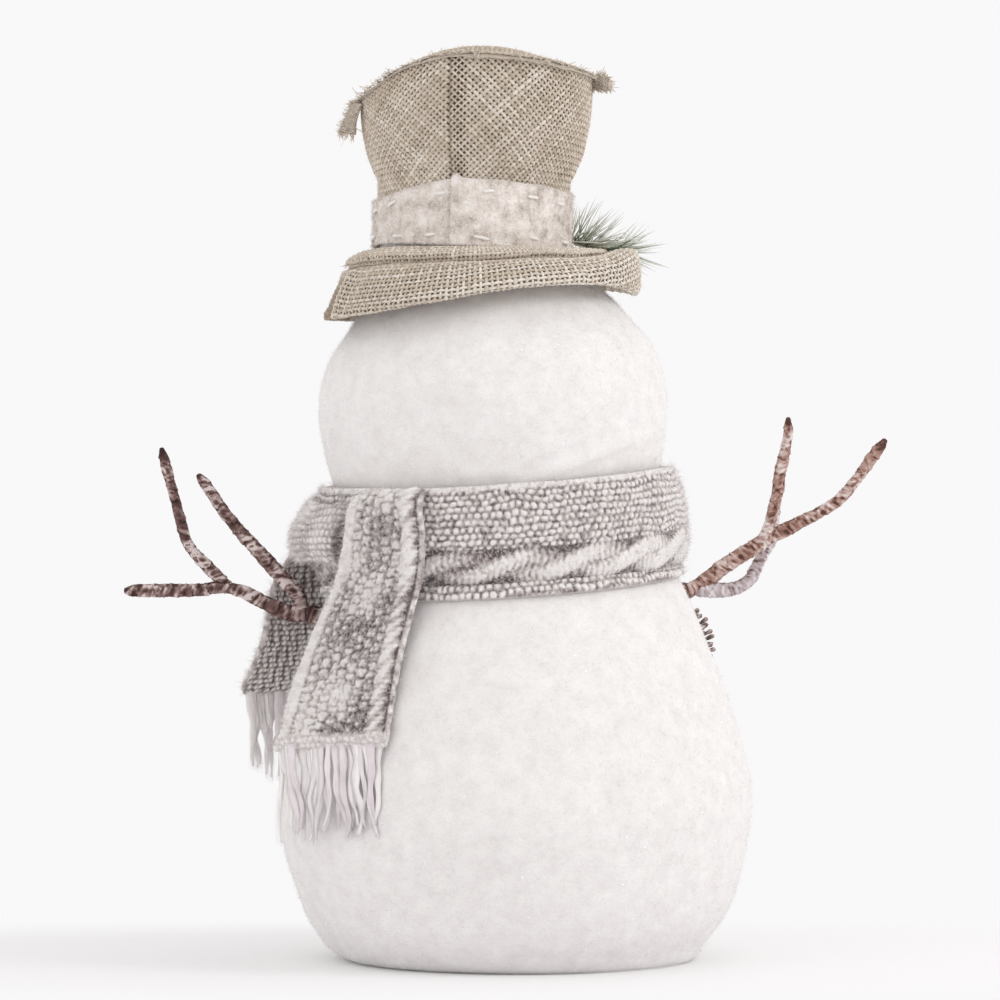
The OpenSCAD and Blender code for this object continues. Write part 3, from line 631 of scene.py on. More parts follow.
def inCable(y, half):  # 1 in the strip that the cable takes up, 0 beyond it
    return np.clip((half - np.abs(y)) / 1.2, 0, 1)


def bandRelief(s, h):
    look = scarf
    seed = look["stitchRelief"] * bobbles(s, h, look["stitchWide"], look["stitchHigh"], 1)
    y = h - look["cableMiddle"] - 0.8 * np.sin(s / 40)
    rope = look["cableRelief"] * cable(s, y, look["cableLobe"], look["cableSwing"], look["cableStrand"])
    strip = inCable(y, look["cableHalf"])
    relief = seed * (1 - strip) + (rope - 0.3) * strip
    top = np.clip((h - (look["width"] - look["lip"])) / 1.0, 0, 1)
    return relief * (1 - top) + top * (0.9 + 0.1 * np.cos(2 * np.pi * s / 3.4))


def paintedReliefShade(relief):  # painted light and shade: pale on the raised stitches, dark in the hollows where shade falls
    low, high = np.percentile(relief, [4, 96])
    return np.clip((relief - low) / (high - low), 0, 1)


def addKnit(name, grid, out, relief, tone, fuzzCount, seed, replaced, capped=True):
    # grid runs along the cloth by round its section; capped cloth has two ends, and the band closes on itself
    shaped = grid + out * relief[..., None]
    rows, columns = shaped.shape[:2]
    faces = [gridFaces(rows, columns, loopRows=not capped, loopColumns=True)]
    if capped:
        half = np.arange(columns // 2 - 1)
        strip = np.stack([half, half + 1, columns - 2 - half, columns - 1 - half], -1)
        faces += [strip[:, ::-1], strip + (rows - 1) * columns]
    piece = makePiece(name, (shaped, faces), knit, leaned, tone=tone)
    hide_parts(replaced)
    shown = relief > 0.05
    fuzz = makePiece(name + "Fuzz", fibres(shaped[shown], out[shown], fuzzCount, scarf["fuzz"], seed),
                     knitFuzz, leaned)


def addBand():
    look = scarf
    side = np.arange(0, 360, look["sampleGap"] / bandArc)
    side = np.linspace(0, 360, len(side), endpoint=False)
    share = np.linspace(0, 1, int(look["width"] / look["sampleGap"]))
    bend = np.linspace(0, np.pi, 6)[1:-1]
    back = np.linspace(1, 0, 9)
    s = side[:, None] * bandArc
    outer = bandOuter(side[:, None], share[None])
    inner = np.maximum(surfaceR(bandZ(side[:, None], back[None])) + 2 * look["seat"],
                       bandOuter(side[:, None], back[None]) - look["thick"])
    parts = [polar(side[:, None], outer, bandZ(side[:, None], share[None]))]

    def edgeArc(t, low, high, sign):  # the rounded edge between outside and inside
        middle, half = (low + high) / 2, (high - low) / 2
        r = middle + half * np.cos(bend)[None]
        z = bandZ(side[:, None], t) + sign * 1.3 * np.sin(bend)[None]
        return polar(side[:, None], r, z)

    parts.append(edgeArc(1.0, inner[:, :1], outer[:, -1:], 1))
    parts.append(polar(side[:, None], inner, bandZ(side[:, None], back[None])))
    parts.append(edgeArc(0.0, inner[:, -1:], outer[:, :1], -1)[:, ::-1])
    grid = np.concatenate(parts, 1)
    out = normalsOf(grid, loopRows=True, loopColumns=True)
    if (out[:, 10] * grid[:, 10]).sum() < 0:
        out = -out
    relief = np.zeros(grid.shape[:2])
    face = slice(0, len(share))
    relief[:, face] = bandRelief(s + 0 * share, share[None] * look["width"] + 0 * s)
    # the tone is painted shade in the hollows and painted light on the raised stitches, with random flecks
    tone = 0.5 + 0.95 * (paintedReliefShade(relief) - 0.5) + 0.3 * lumps(grid, 1.3, 9)
    relief[:, face] += look["swell"] * lumps(grid[:, face], look["swellSize"], 8)
    relief[:, face] += 0.1 - np.minimum(0, relief[:, face].min())
    # painted shade on the side away from the key lamp: towards the figure's left the smooth stitches of the
    # cable are darkened well below the beads, and the rest of the face a little
    rise = share[None] * look["width"] - look["cableMiddle"]
    left = 0.5 + 0.5 * np.cos(np.radians(side))[:, None]
    shade = look["cableShade"] * inCable(rise, look["cableHalf"]) + look["sideShade"]
    tone[:, face] -= shade * left - look["toneLift"]
    tone[:, len(share):] = look["insideTone"]
    addKnit("scarfBand", grid, out, relief, tone, 26000, 21, "scarf_band",
            capped=False)


def tailGrid(stations, length, thick):
    # outside left to right, then the inside right to left, for each mark down the tail
    look = scarf
    highest = look["height"] + look["tailRise"]
    line = smoothLine([[a, look["wrapR"] + d, highest - length * k, look["tailWidth"] - w, f]
                       for a, d, k, w, f in stations], 14)
    middle = polar(line[:, 0], line[:, 1], line[:, 2])
    run = np.concatenate([[0], np.cumsum(np.linalg.norm(np.diff(middle, axis=0), axis=1))])
    marks = np.linspace(0, run[-1], int(run[-1] / look["sampleGap"]))
    middle = np.stack([np.interp(marks, run, middle[:, k]) for k in range(3)], -1)
    width = np.interp(marks, run, line[:, 3])[:, None]
    face = np.radians(np.interp(marks, run, line[:, 4]))
    away = np.stack([np.cos(face), np.sin(face), 0 * face], -1)[:, None]
    across = np.stack([-np.sin(face), np.cos(face), 0 * face], -1)[:, None]
    u = np.linspace(-0.5, 0.5, int(look["tailWidth"] / look["sampleGap"]))
    inner = clearOf(middle[:, None] + across * (u * width)[..., None], look["seat"])
    full = thick * (0.6 + 0.4 * np.sqrt(np.maximum(0, 1 - (2 * u) ** 6)))
    toEnd = np.clip((run[-1] - marks) / look["hem"], 0, 1)[:, None]
    hem = np.sqrt(np.maximum(0.03, 1 - (1 - toEnd) ** 2)) * (1 + 0.25 * np.exp(-((toEnd - 0.9) / 0.5) ** 2))
    fromTop = np.clip(marks / 4, 0, 1)[:, None]
    top = np.sqrt(np.maximum(0.05, 1 - (1 - fromTop) ** 2))
    outer = inner + away * (full * hem * top)[..., None]
    bend = np.linspace(0, np.pi, 7)[1:-1]

    def sideArc(k, sign):
        low, high = inner[:, k][:, None], outer[:, k][:, None]
        reach = np.linalg.norm(high - low, axis=-1, keepdims=True) * 0.5
        return ((low + high) / 2 + (high - low) / 2 * np.cos(bend)[None, :, None]
                + across * sign * reach * np.sin(bend)[None, :, None])

    grid = np.concatenate([outer, sideArc(-1, 1), inner[:, ::-1], sideArc(0, -1)[:, ::-1]], 1)
    return grid, away, marks, u, width, run[-1]


def addTail(name, stations, length, pattern, replaced, fuzzCount, seed, fringe):
    look = scarf
    grid, away, marks, u, width, end = tailGrid(stations, length, look["tailThick"] - 1.2)
    out = normalsOf(grid, loopColumns=True)
    if (out[:, 5:40] * away).sum() < 0:
        out = -out
    x = u[None] * width
    v = marks[:, None] + 0 * x
    arc = 5  # points round each side edge
    edge = width / 2 - np.abs(x)
    relief = np.zeros(grid.shape[:2])
    relief[:, :len(u)] = pattern(x, v, edge, end)
    relief[:, len(u):len(u) + arc] = relief[:, len(u) - 1:len(u)] * np.linspace(1, 0, arc)
    relief[:, -arc:] = relief[:, :1] * np.linspace(0, 1, arc)
    relief += 0.06
    # the wrong side of the knitting: ridges that sink into the thickness, so that it keeps its seat
    inside = slice(len(u) + arc, grid.shape[1] - arc)
    drift = 0.25 * v + 1.2 * lumps(np.stack([x, v, 0 * x], -1), 11, 14)
    rib = 0.6 * np.abs(np.cos(np.pi * (x + drift) / 5.2)) ** 0.7
    wrong = (rib + 0.9 * bobbles(x, v, 3.3, 2.9, 13))[:, ::-1]
    # painted shade in the hollows of the stitches and painted light on their tops, outside and inside
    tone = paintedReliefShade(relief)
    tone[:, inside] = paintedReliefShade(wrong)
    sides = np.r_[len(u):len(u) + arc, grid.shape[1] - arc:grid.shape[1]]
    tone[:, sides] = 0.5 + 0.3 * lumps(grid[:, sides], 2.2, 26)
    fade = np.clip(np.minimum(np.arange(len(u)), np.arange(len(u))[::-1]) / 5, 0, 1)
    relief[:, inside] = (0.8 * wrong - 1.7) * fade
    addKnit(name, grid, out, relief, tone, fuzzCount, seed, replaced)


def rolled(edge):  # the smooth swell of a rolled side edge
    return scarf["roll"] * np.sin(np.pi * np.clip(edge / scarf["rollWidth"], 0, 1)) ** 0.6


def rearPattern(x, v, edge, end):  # columns of bobbles between smooth rolled edges
    spot = np.stack([x, v, 0 * x], -1)
    column = (x + 1.3 * lumps(spot, 8, 3) + 0.6 * lumps(spot, 3, 13)) / 5.6
    offset = 0.5 * (np.floor(column + 0.5) % 2)
    row = (v + 1.4 * lumps(spot, 7, 4) + 0.6 * lumps(spot, 3, 14)) / 4.9 + offset
    bobble = (np.cos(np.pi * (column % 1)) ** 2 * np.cos(np.pi * (row % 1 - 0.5)) ** 2) ** 0.4
    fine = 0.7 * bobbles(x, v, 3.0, 2.7, 5)
    middle = 1.1 * bobble * (1 + 0.5 * lumps(spot, 4, 6)) + fine
    folds = 0.3 * np.cos(2 * np.pi * (v + 1.4 * x + 2.2 * lumps(spot, 12, 16)) / 9) * (x > 0)
    folds = folds + 0.16 * np.cos(2 * np.pi * (v + 0.8 * lumps(spot, 5, 17)) / 2.6)
    folds = folds + 0.35 * lumps(spot, 4, 18)
    share = np.clip((np.clip(1 - edge / scarf["rollWidth"], 0, 1) - 0.05) / 0.2, 0, 1)
    relief = middle * (1 - share) + (rolled(edge) + folds) * share
    relief = relief + 0.9 * lumps(spot, 17, 19) + 0.25 * lumps(spot, 1.6, 20)
    hem = np.clip((v - (end - 9)) / 3, 0, 1)
    return relief * (1 - hem) + (0.9 + 0.5 * bobbles(x, v, 3.2, 2.8, 9)) * hem


def frontPattern(x, v, edge, _):  # fine rib, and a cable low down
    spot = np.stack([x, v, 0 * x], -1)
    seed = bobbles(x, v, 3.4, 2.9, 11)
    rib = 0.8 * np.abs(np.cos(np.pi * (x + 0.5 * lumps(spot, 8, 12)) / 4.6)) ** 0.6
    y = x + 4
    rope = 2.1 * cable(v, y, 30, 4.2, 4.8)
    low = np.clip((v - 40) / 6, 0, 1)
    strip = inCable(y, 8.8) * low
    body = seed * (1 - 0.5 * low) + rib * 0.5 * low
    relief = body * (1 - strip) + rope * strip
    share = np.clip((scarf["rollWidth"] - edge) / scarf["rollWidth"] * 2, 0, 1)
    return relief * (1 - share) + (rolled(edge) + 0.16 * np.cos(2 * np.pi * v / 2.6)) * share


# each station down a tail: degrees round, how far off the band, share of the length, narrowing, and the
# degrees it faces
frontStations = [[-36, -6.5, 0, 16, -38], [-36, -1.5, 0.094, 14, -40], [-33.5, 6.5, 0.24, 10, -47],
                 [-31, 15.5, 0.448, 4, -54], [-30, 21.5, 0.74, 1, -55], [-28, 33.5, 1, 0, -55]]
rearStations = [[54, -6.5, 0, 20, 54], [54, -0.5, 0.058, 18, 54], [53.5, 0.5, 0.192, 14, 54],
                [51, 2.5, 0.358, 9, 53], [44.5, 11.5, 0.65, 3, 55], [43.5, 28.5, 1, 0, 64]]

knotLook = {"from": -20, "to": 38, "samples": 110, "rows": 66, "below": 12, "above": 24,
            "edgeFade": (0.1, 0.4, 0.8), "fuzz": 5000}


def addKnot():  # the lap of scarf that holds both tails
    look = knotLook
    k = np.linspace(0, 1, look["samples"])[:, None]
    side = look["from"] + (look["to"] - look["from"]) * k
    low = scarf["height"] - look["below"] + 3 * np.cos(np.radians(90 * (side - 10) / 30))
    high = scarf["height"] + look["above"] - 7 * k
    t = np.linspace(0, 1, look["rows"])[None]
    z = low + (high - low) * t
    lap = 1.2 + (14 - 9 * t) * np.sin(np.radians(20 + 140 * t)) ** 0.7
    inner = dressedR(side, z) + scarf["seat"]
    grid = np.concatenate([polar(side, inner + lap, z), polar(side, inner, z)[:, ::-1]], 1)
    out = normalsOf(grid, loopColumns=True)
    if (out[:, 20] * polar(side[:, 0], 1, 0)).sum() < 0:
        out = -out
    relief = np.zeros(grid.shape[:2])
    s = side * bandArc + 0 * z
    spot = polar(side, 100, z)
    stitches = bobbles(s + 0.5 * z, z, scarf["stitchWide"], scarf["stitchHigh"], 15)
    relief[:, :look["rows"]] = stitches + 0.8 * lumps(spot, 14, 5) + 0.8
    relief[:, :3] *= look["edgeFade"]
    relief[:, look["rows"] - 3:look["rows"]] *= look["edgeFade"][::-1]
    # its tone is painted shade in the hollows of the stitches and painted light on their tops
    addKnit("scarfKnot", grid, out, relief, paintedReliefShade(relief), look["fuzz"], 25, "scarf_knot")


fringeLook = {"width": 4.1, "thick": 1.4, "length": 46, "wave": 1.6, "drift": 4.5, "samples": 26, "sides": 8,
              "hairs": 26, "hairWidth": 0.16, "hairSides": 3}


def addFringe(name, stations, length, count, seed, replaced):
    look = fringeLook
    rng = np.random.default_rng(seed)
    a, d, _, w, face = stations[-1]
    away = polar(face, 1, 0)
    across = polar(face + 90, 1, 0)
    foot = polar(a, scarf["wrapR"] + d, scarf["height"] + scarf["tailRise"] - length + 3)
    u = (np.arange(count) + 0.5) / count - 0.5 + rng.uniform(-0.25, 0.25, count) / count
    start = foot + across * (u * (scarf["tailWidth"] - w - 4))[:, None]
    start = start + away * rng.uniform(1.5, 5, (count, 1))
    t = np.linspace(0, 1, look["samples"])
    long = look["length"] * rng.uniform(0.82, 1.02, (count, 1))
    drift = rng.uniform(-look["drift"], look["drift"], (count, 1)) * t ** 1.3
    phase = rng.uniform(0, 6.28, (count, 2, 1))
    turns = rng.uniform(0.8, 1.8, (count, 1))
    swayA = look["wave"] * np.sin(2 * np.pi * turns * t + phase[:, 0]) * t ** 0.7
    swayB = look["wave"] * 0.6 * np.sin(2 * np.pi * turns * t * 1.3 + phase[:, 1]) * t ** 0.7
    paths = (start[:, None] + across * (drift + swayA)[..., None] + away * swayB[..., None]
             + np.array([0, 0, -1]) * (long * t)[..., None])
    paths = clearOf(paths, 1.6)
    width = look["width"] * rng.uniform(0.7, 1.25, (count, 1)) * (1 - 0.72 * t ** 2.2)
    width = width * (1 + 0.16 * np.sin(2 * np.pi * (3 * t + phase[:, 1])))
    shape = strands(paths, away[None, None], width, look["thick"] * (1 - 0.6 * t ** 2), look["sides"])
    shade = np.repeat(rng.uniform(0, 1, count), look["samples"] * look["sides"])
    fringe = makePiece(name, shape, roving, leaned, tone=shade)
    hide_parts(replaced)
    pick = np.repeat(np.arange(count), look["hairs"])
    n = len(pick)
    off = rng.uniform(-0.5, 0.5, (n, 1)) * width[pick] * 1.25
    loose = rng.normal(size=(n, 1)) * 1.1 * t ** 2
    hairs = (paths[pick] + across * (off + loose)[..., None]
             + away * (rng.normal(size=(n, 1)) * 0.8 * (0.4 + t))[..., None])
    hairs[..., 2] -= rng.uniform(0, 3, (n, 1)) * t
    hairs = clearOf(hairs, 0.5)
    wide = look["hairWidth"] * (1.05 - t)
    shape = strands(hairs, away[None, None], wide, look["hairWidth"] * 0.5, look["hairSides"])
    hair = makePiece(name + "Hairs", shape, roving, leaned,
                     tone=np.repeat(rng.uniform(0, 1, n), look["samples"] * look["hairSides"]))
    return fringe, hair


addBand()
addKnot()
addTail("scarfFrontTail", frontStations, scarf["frontLength"], frontPattern, "scarf_front_tail", 8000, 22,
        addFringe("frontFringe", frontStations, scarf["frontLength"], 17, 31, "front_fringe"))
addTail("scarfRearTail", rearStations, scarf["rearLength"], rearPattern, "scarf_rear_tail", 9000, 23,
        addFringe("rearFringe", rearStations, scarf["rearLength"], 22, 32, "rear_fringe"))
print("scarf knitted, fringes knotted on")

# ---- hat ----

hat = {
    "tilt": 5.3, "shift": 5.3, "seat": 353, "topR": 57, "height": 88, "sag": 20,
    "threadPitch": 2.27, "thread": 1.66, "threadThick": 0.78, "threadSides": 5, "threadSamples": 8,
    "weaveLift": 0.42, "linerDepth": 1.05, "panelPitch": 2.35, "panelThread": 1.62, "panelSamples": 150,
    "backSeam": 77, "seamGroove": 1.0, "openStrip": 9, "dent": 0.9, "dentSize": 26,
    "threadsRound": 102, "weaveFrom": 20, "crownHairs": 3500, "panelHairs": 1500,
    "hairs": {"length": 2.2, "stand": 0.8, "width": 0.13, "spread": 0.5},
    "rimFray": 620, "rimFrayLong": 3.1,
}
crownLine = smoothLine([[47, -28], [47, 0], [47, 29.9], [49.5, 37.8], [53.4, 51], [56, 70.4], [57, 88]], 12)
domeLine = smoothLine([[62.5, 86.5], [58, 89.8], [45.6, 92], [25.65, 95.2], [0.4, 96]], 12)


def onHat(points):
    return leaned(tilted(points, -hat["tilt"]) + [hat["shift"], 0, hat["seat"]])


def sagged(side, r, z):  # the stuffed crown hangs lower at the figure's left
    c = np.cos(np.radians(side))
    share = (np.maximum(z, 0) / hat["height"]) ** 2 * np.minimum(r / hat["topR"], 1) ** 1.5
    drop = hat["sag"] * np.where(c > 0, np.abs(c) ** 2.2, 0.25 * np.abs(c) ** 2.2)
    return polar(side, r, z - share * drop)


def wovenLine():  # the crown's outline from where its weave starts, a point every quarter millimetre
    line = evenly(crownLine[crownLine[:, 1] >= hat["weaveFrom"] - 1e-6], 0.25)
    return line, np.arange(len(line)) * 0.25


def seamGap(side, r):  # millimetres round the crown from the nearer upright seam, towards the figure's right
    return math.radians(1) * r * ((side - hat["backSeam"] + 90) % 180 - 90)


def crownSkin(side, run):  # a point of the crown at a length up its side, with the dents of its filling
    line, marks = wovenLine()
    r = np.interp(run, marks, line[:, 0])
    z = np.interp(run, marks, line[:, 1])
    point = sagged(side, r, z)
    out = unit(point * [1, 1, 0])
    dent = hat["dent"] * lumps(point, hat["dentSize"], 9) + 0.3 * lumps(point, 9, 10)
    return point + out * dent[..., None], out, seamGap(side, r)


def twill(path, seed, spread=0.35):  # each thread's own tone, drifting along it
    tubes, samples = path.shape[:2]
    rng = np.random.default_rng(seed)
    one = rng.uniform(0, 1, (tubes, 1)) + 0 * np.arange(samples)
    knots = rng.uniform(-1, 1, (tubes, 12))
    drift = np.stack([np.interp(np.linspace(0, 11, samples), np.arange(12), k) for k in knots])
    return np.repeat((0.25 + 0.5 * one + spread * drift).ravel(), hat["threadSides"])


def addCrown():
    look = hat
    end = wovenLine()[1][-1]
    step = look["threadPitch"] * math.sqrt(2)
    run = np.arange(0, end, step / look["threadSamples"])[None]
    count = look["threadsRound"]
    k = np.arange(count)[:, None]
    for name, way, seed in (("crownThreadsRising", 1, 41), ("crownThreadsFalling", -1, 42)):
        side = 360 * (k + way * run / step) / count
        point, out, gap = crownSkin(side, run + 0 * k)
        lift = way * look["weaveLift"] * np.cos(2 * np.pi * run / step)
        dive = 1.7 * np.exp(-(gap / look["seamGroove"]) ** 2) - 0.5 * np.exp(-((gap + 3) / 2.2) ** 2)
        rng = np.random.default_rng(seed)
        slub = 1 + 0.12 * rng.normal(size=(count, 1)) + 0.1 * lumps(point, 4, seed)
        openness = np.clip((gap - 0.5) / 1.5, 0, 1) * np.clip((look["openStrip"] - gap) / 3, 0, 1)
        width = look["thread"] * slub * (1 - 0.32 * openness) * np.where(gap < 0, 1.06, 1.0)
        path = point + out * (lift - dive + 0.1)[..., None]
        shape = strands(path, out, width, look["threadThick"], look["threadSides"])
        threads = makePiece(name, shape, burlap, onHat, tone=twill(path, seed))
        if way == 1:
            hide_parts("hat_crown")
        makePiece(name + "Hairs", fibres(path, out, look["crownHairs"], look["hairs"], seed + 5),
                  burlapHair, onHat)
    side = np.arange(0, 360, 1.5)[None]
    up = np.linspace(0, end, 60)[:, None]
    point, out, _ = crownSkin(side + 0 * up, up + 0 * side)
    # the lining's dark colour is painted shade, seen through the gaps of the weave
    liner = makePiece("crownLinerInPaintedShade", skin(point - out * look["linerDepth"]), burlapShade, onHat)


def domeAt(x, y):  # a point of the domed top panel
    top = domeLine[12:]
    r = np.hypot(x, y)
    z = np.interp(-r, -top[:, 0], top[:, 1])
    point = sagged(np.degrees(np.arctan2(y, x)), r, z)
    return point + np.stack([0 * z, 0 * z, 0.9 * lumps(point, 22, 15)], -1)


def addTop():
    look = hat
    pitch = look["panelPitch"]
    edge = look["topR"] + 0.6
    at = np.arange(-edge + 1.2, edge, pitch)
    share = np.linspace(-1, 1, look["panelSamples"])[None]
    reach = np.sqrt(edge ** 2 - at ** 2)[:, None]
    along = reach * share
    across = at[:, None] + 0 * share
    for name, way, seed in (("topThreadsAcross", 1, 43), ("topThreadsAlong", -1, 44)):
        path = domeAt(along, across) if way == 1 else domeAt(across, along)
        odd = np.cos(np.pi * np.arange(len(at)))[:, None]
        lift = way * odd * look["weaveLift"] * np.cos(np.pi * (along - at[0]) / pitch)
        path = path + np.stack([0 * lift, 0 * lift, lift], -1)
        rng = np.random.default_rng(seed)
        width = look["panelThread"] * (1 + 0.12 * rng.normal(size=(len(at), 1)) + 0.1 * lumps(path, 4, seed))
        shape = strands(path, np.array([0, 0, 1.0]), width, look["threadThick"], look["threadSides"])
        threads = makePiece(name, shape, burlap, onHat, tone=twill(path, seed))
        if way == 1:
            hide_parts("hat_top")
        hairs = fibres(path, path * 0 + [0, 0, 1.0], look["panelHairs"], look["hairs"], seed + 5)
        makePiece(name + "Hairs", hairs, burlapHair, onHat)
    # the cloth under the weave, and the raw seam that stands out round it
    side = np.arange(0, 360, 1.5)[None]
    rings = np.array([[1.0, 96.0], [25, 95.2], [45.6, 92], [55, 90.2], [57.8, 89.2], [59.8, 87.9], [60, 87.1],
                      [58, 87.6], [56.5, 88]])
    rings[:4, 1] -= 0.9
    grid = sagged(side, rings[:, :1], rings[:, 1:] + 0 * side)
    grid[..., 2] += 0.7 * lumps(grid, 22, 15)
    ruffle = np.clip((rings[:, :1] - 56) / 5, 0, 1) * (1.1 * lumps(grid, 9, 16) + 0.6 * lumps(grid, 4, 17))
    grid[..., 2] += ruffle
    cloth = makePiece("topCloth", skin(grid), burlapPale, onHat)


def addFray(name, start, way, up, length, seed, width, curl=0.35):
    # loose thread ends that stand out from a raw edge, each bent its own way
    rng = np.random.default_rng(seed)
    n = len(start)
    samples, sides = 7, 5
    t = np.linspace(0, 1, samples)[None, :, None]
    long = (length * rng.uniform(0.35, 1.2, n))[:, None, None]
    bend = rng.normal(size=(n, 1, 3)) * curl
    path = start[:, None] + way[:, None] * long * t + bend * long * t ** 2
    wide = width * rng.uniform(0.55, 1.2, (n, 1)) * (1 - 0.55 * t[..., 0])
    shape = strands(path, np.broadcast_to(up, (n, 3))[:, None], wide, wide * 0.55, sides)
    tone = np.repeat(rng.uniform(0.3, 1.0, n), samples * sides)
    return makePiece(name, shape, burlap, onHat, tone=tone)


def addCrownFray():
    rng = np.random.default_rng(45)
    n = hat["rimFray"]
    side = rng.uniform(0, 360, n)
    r = hat["topR"] + rng.uniform(0, 2.6, n)
    z = np.interp(-r, -domeLine[:, 0], domeLine[:, 1]) - 0.2
    start = sagged(side, r, z)
    turn = rng.choice([-1, 1], n) * rng.uniform(20, 60, n)
    way = polar(side + turn, 1, rng.normal(size=n) * 0.25)
    addFray("crownFray", start, way, [0, 0, 1.0], hat["rimFrayLong"], 46, width=1.0)


flaps = {
    "rows": 12, "columns": 18, "thick": 1.1, "taper": 0.35, "curl": 1.6, "ripple": 0.9, "fray": 3.2,
    "hairCount": 500,
    "hairs": {"length": 2.4, "stand": 0.9, "width": 0.3, "spread": 0.7},
}


def addFlap(name, corner, out, down, wide, long, seed):
    # a corner of the top seam that stands free of the crown
    look = flaps
    rows, columns = look["rows"], look["columns"]
    down = unit(np.array(down, float))
    across = unit(np.cross(out, down))
    u = np.linspace(-0.5, 0.5, rows)[:, None, None]
    v = np.linspace(0, 1, columns)[None, :, None]
    flap = (sagged(*corner) + across * u * wide * (1 - look["taper"] * v) + down * v * long
            + out * (look["curl"] * np.sin(2.6 * v + 3 * u)))
    flap = flap + look["ripple"] * out * lumps(flap, 5, seed)[..., None]
    thick = np.concatenate([flap, flap[:, ::-1] - out * look["thick"]], 1)
    half = np.arange(columns - 1)
    strip = np.stack([half, half + 1, 2 * columns - 2 - half, 2 * columns - 1 - half], -1)
    faces = [gridFaces(rows, 2 * columns, loopColumns=True), strip[:, ::-1], strip + (rows - 1) * 2 * columns]
    makePiece(name, (thick, faces), burlapPale, onHat)
    edge = np.repeat(np.concatenate([flap[:, -1], flap[0, ::2], flap[-1, ::2]]), 3, 0)
    way = unit(down + 0.5 * np.random.default_rng(seed).normal(size=edge.shape))
    addFray(name + "Fray", edge, way, out, look["fray"], seed + 10, width=0.9)
    makePiece(name + "Hairs", fibres(flap, flap * 0 + out, look["hairCount"], look["hairs"], seed),
              burlapHair, onHat)


brim = {"wide": 155, "thick": 5, "drop": 20, "seat": -7, "roll": 2, "flare": 13, "crease": 0.5, "pitch": 2.45,
        "thread": 1.55, "threadThick": 0.75, "lift": 0.4, "upright": 180, "neckR": 47.3, "linerDepth": 0.8,
        "topMarks": 46, "edgeMarks": 5, "underMarks": 30, "aroundSamples": 540, "acrossSamples": 3.1,
        "hairs": 3500, "brighter": 0.22, "foldShade": 1.5, "creaseFray": 300, "creaseFrayLong": 3.6}


def brimPoint(side, t, lift):
    a = np.radians(side)
    edgeR = brim["wide"] / 2 - 4.5 * np.cos(a)
    edgeZ = brim["seat"] - brim["drop"] - 10 * np.cos(a) + 1.5 * np.cos(3 * a + math.radians(40))
    fall = (edgeZ - brim["seat"]) * t ** (1.5 + 0.7 * np.maximum(0, np.cos(a)))
    flare = np.maximum(lift, lift / 4) * brim["flare"] * t * t * np.maximum(0, -np.cos(a)) ** 8
    z = brim["seat"] - brim["roll"] * np.cos(a) + lift * brim["thick"] / 2 + fall + flare
    return polar(side, brim["neckR"] + (edgeR - brim["neckR"]) * t, z)


def brimFold(grid):  # the turned-in corner of the cloth at the figure's left, sunk in and darkened there by painted shade
    side = np.degrees(np.arctan2(grid[..., 1], grid[..., 0]))
    r = np.hypot(grid[..., 0], grid[..., 1])
    span = np.clip((27 - side) / 4, 0, 1) * np.clip((side + 34) / 8, 0, 1)
    return span * np.clip((r - 63) / 5, 0, 1)


def brimSection(side):
    # marks across the brim: out over the top to the edge, round it, and back underneath
    over, edge, under = brim["topMarks"], brim["edgeMarks"], brim["underMarks"]
    t = np.concatenate([np.linspace(0.02, 0.98, over), np.full(edge, 1.0), np.linspace(0.98, 0.12, under)])
    bend = np.linspace(1, -1, edge + 2)[1:-1]
    lift = np.concatenate([np.ones(over), bend, -np.ones(under)])
    grid = brimPoint(side, t[None], lift[None])
    swell = np.zeros_like(t)
    swell[over:over + edge] = 1.6 * np.sqrt(1 - bend ** 2)
    out = polar(side, 1, 0)
    grid = grid + out * swell[None, :, None]
    top = lift > 0.99
    crease = brim["crease"] + 0.03 * np.sin(np.radians(3 * side + 60)) - 0.04 * np.cos(np.radians(side - 40))
    inner = np.clip(t / crease, 0, 1)
    outer = np.clip((t - crease) / (1 - crease), 0, 1)
    upperPly = 0.3 + 2.1 * np.sin(0.64 * np.pi * inner)
    lowerPly = 3.4 * np.sin(np.pi * outer) ** 0.8 - 2.0 * (1 - outer)
    grid[..., 2] += np.where(top, np.where(t < crease, upperPly, lowerPly), 0)
    # the upper layer hangs over the lower one at its raw crease
    nearEdge = np.exp(-((t - crease) / 0.1) ** 2) * np.where(t < crease, 1.7, -2.3) * top
    grid = grid + out * nearEdge[..., None]
    grid = grid - out * (3.2 * brimFold(grid))[..., None]
    lip = np.exp(-((side - 30) / 4) ** 2) * np.clip((t - 0.5) / 0.2, 0, 1) * top
    grid = grid + out * (1.6 * lip)[..., None] + np.stack([0 * lip, 0 * lip, 0.8 * lip], -1)
    grid[..., 2] += 0.9 * lumps(grid, 24, 18) + 0.35 * lumps(grid, 8, 19)
    return grid


def onGrid(grid, i, j):  # between the points of a grid that closes on itself in i
    i0, j0 = np.floor(i).astype(int), np.minimum(np.floor(j).astype(int), grid.shape[1] - 2)
    a, b = (i - i0)[..., None], (j - j0)[..., None]
    n = grid.shape[0]
    low = grid[i0 % n, j0] * (1 - a) + grid[(i0 + 1) % n, j0] * a
    high = grid[i0 % n, j0 + 1] * (1 - a) + grid[(i0 + 1) % n, j0 + 1] * a
    return low * (1 - b) + high * b


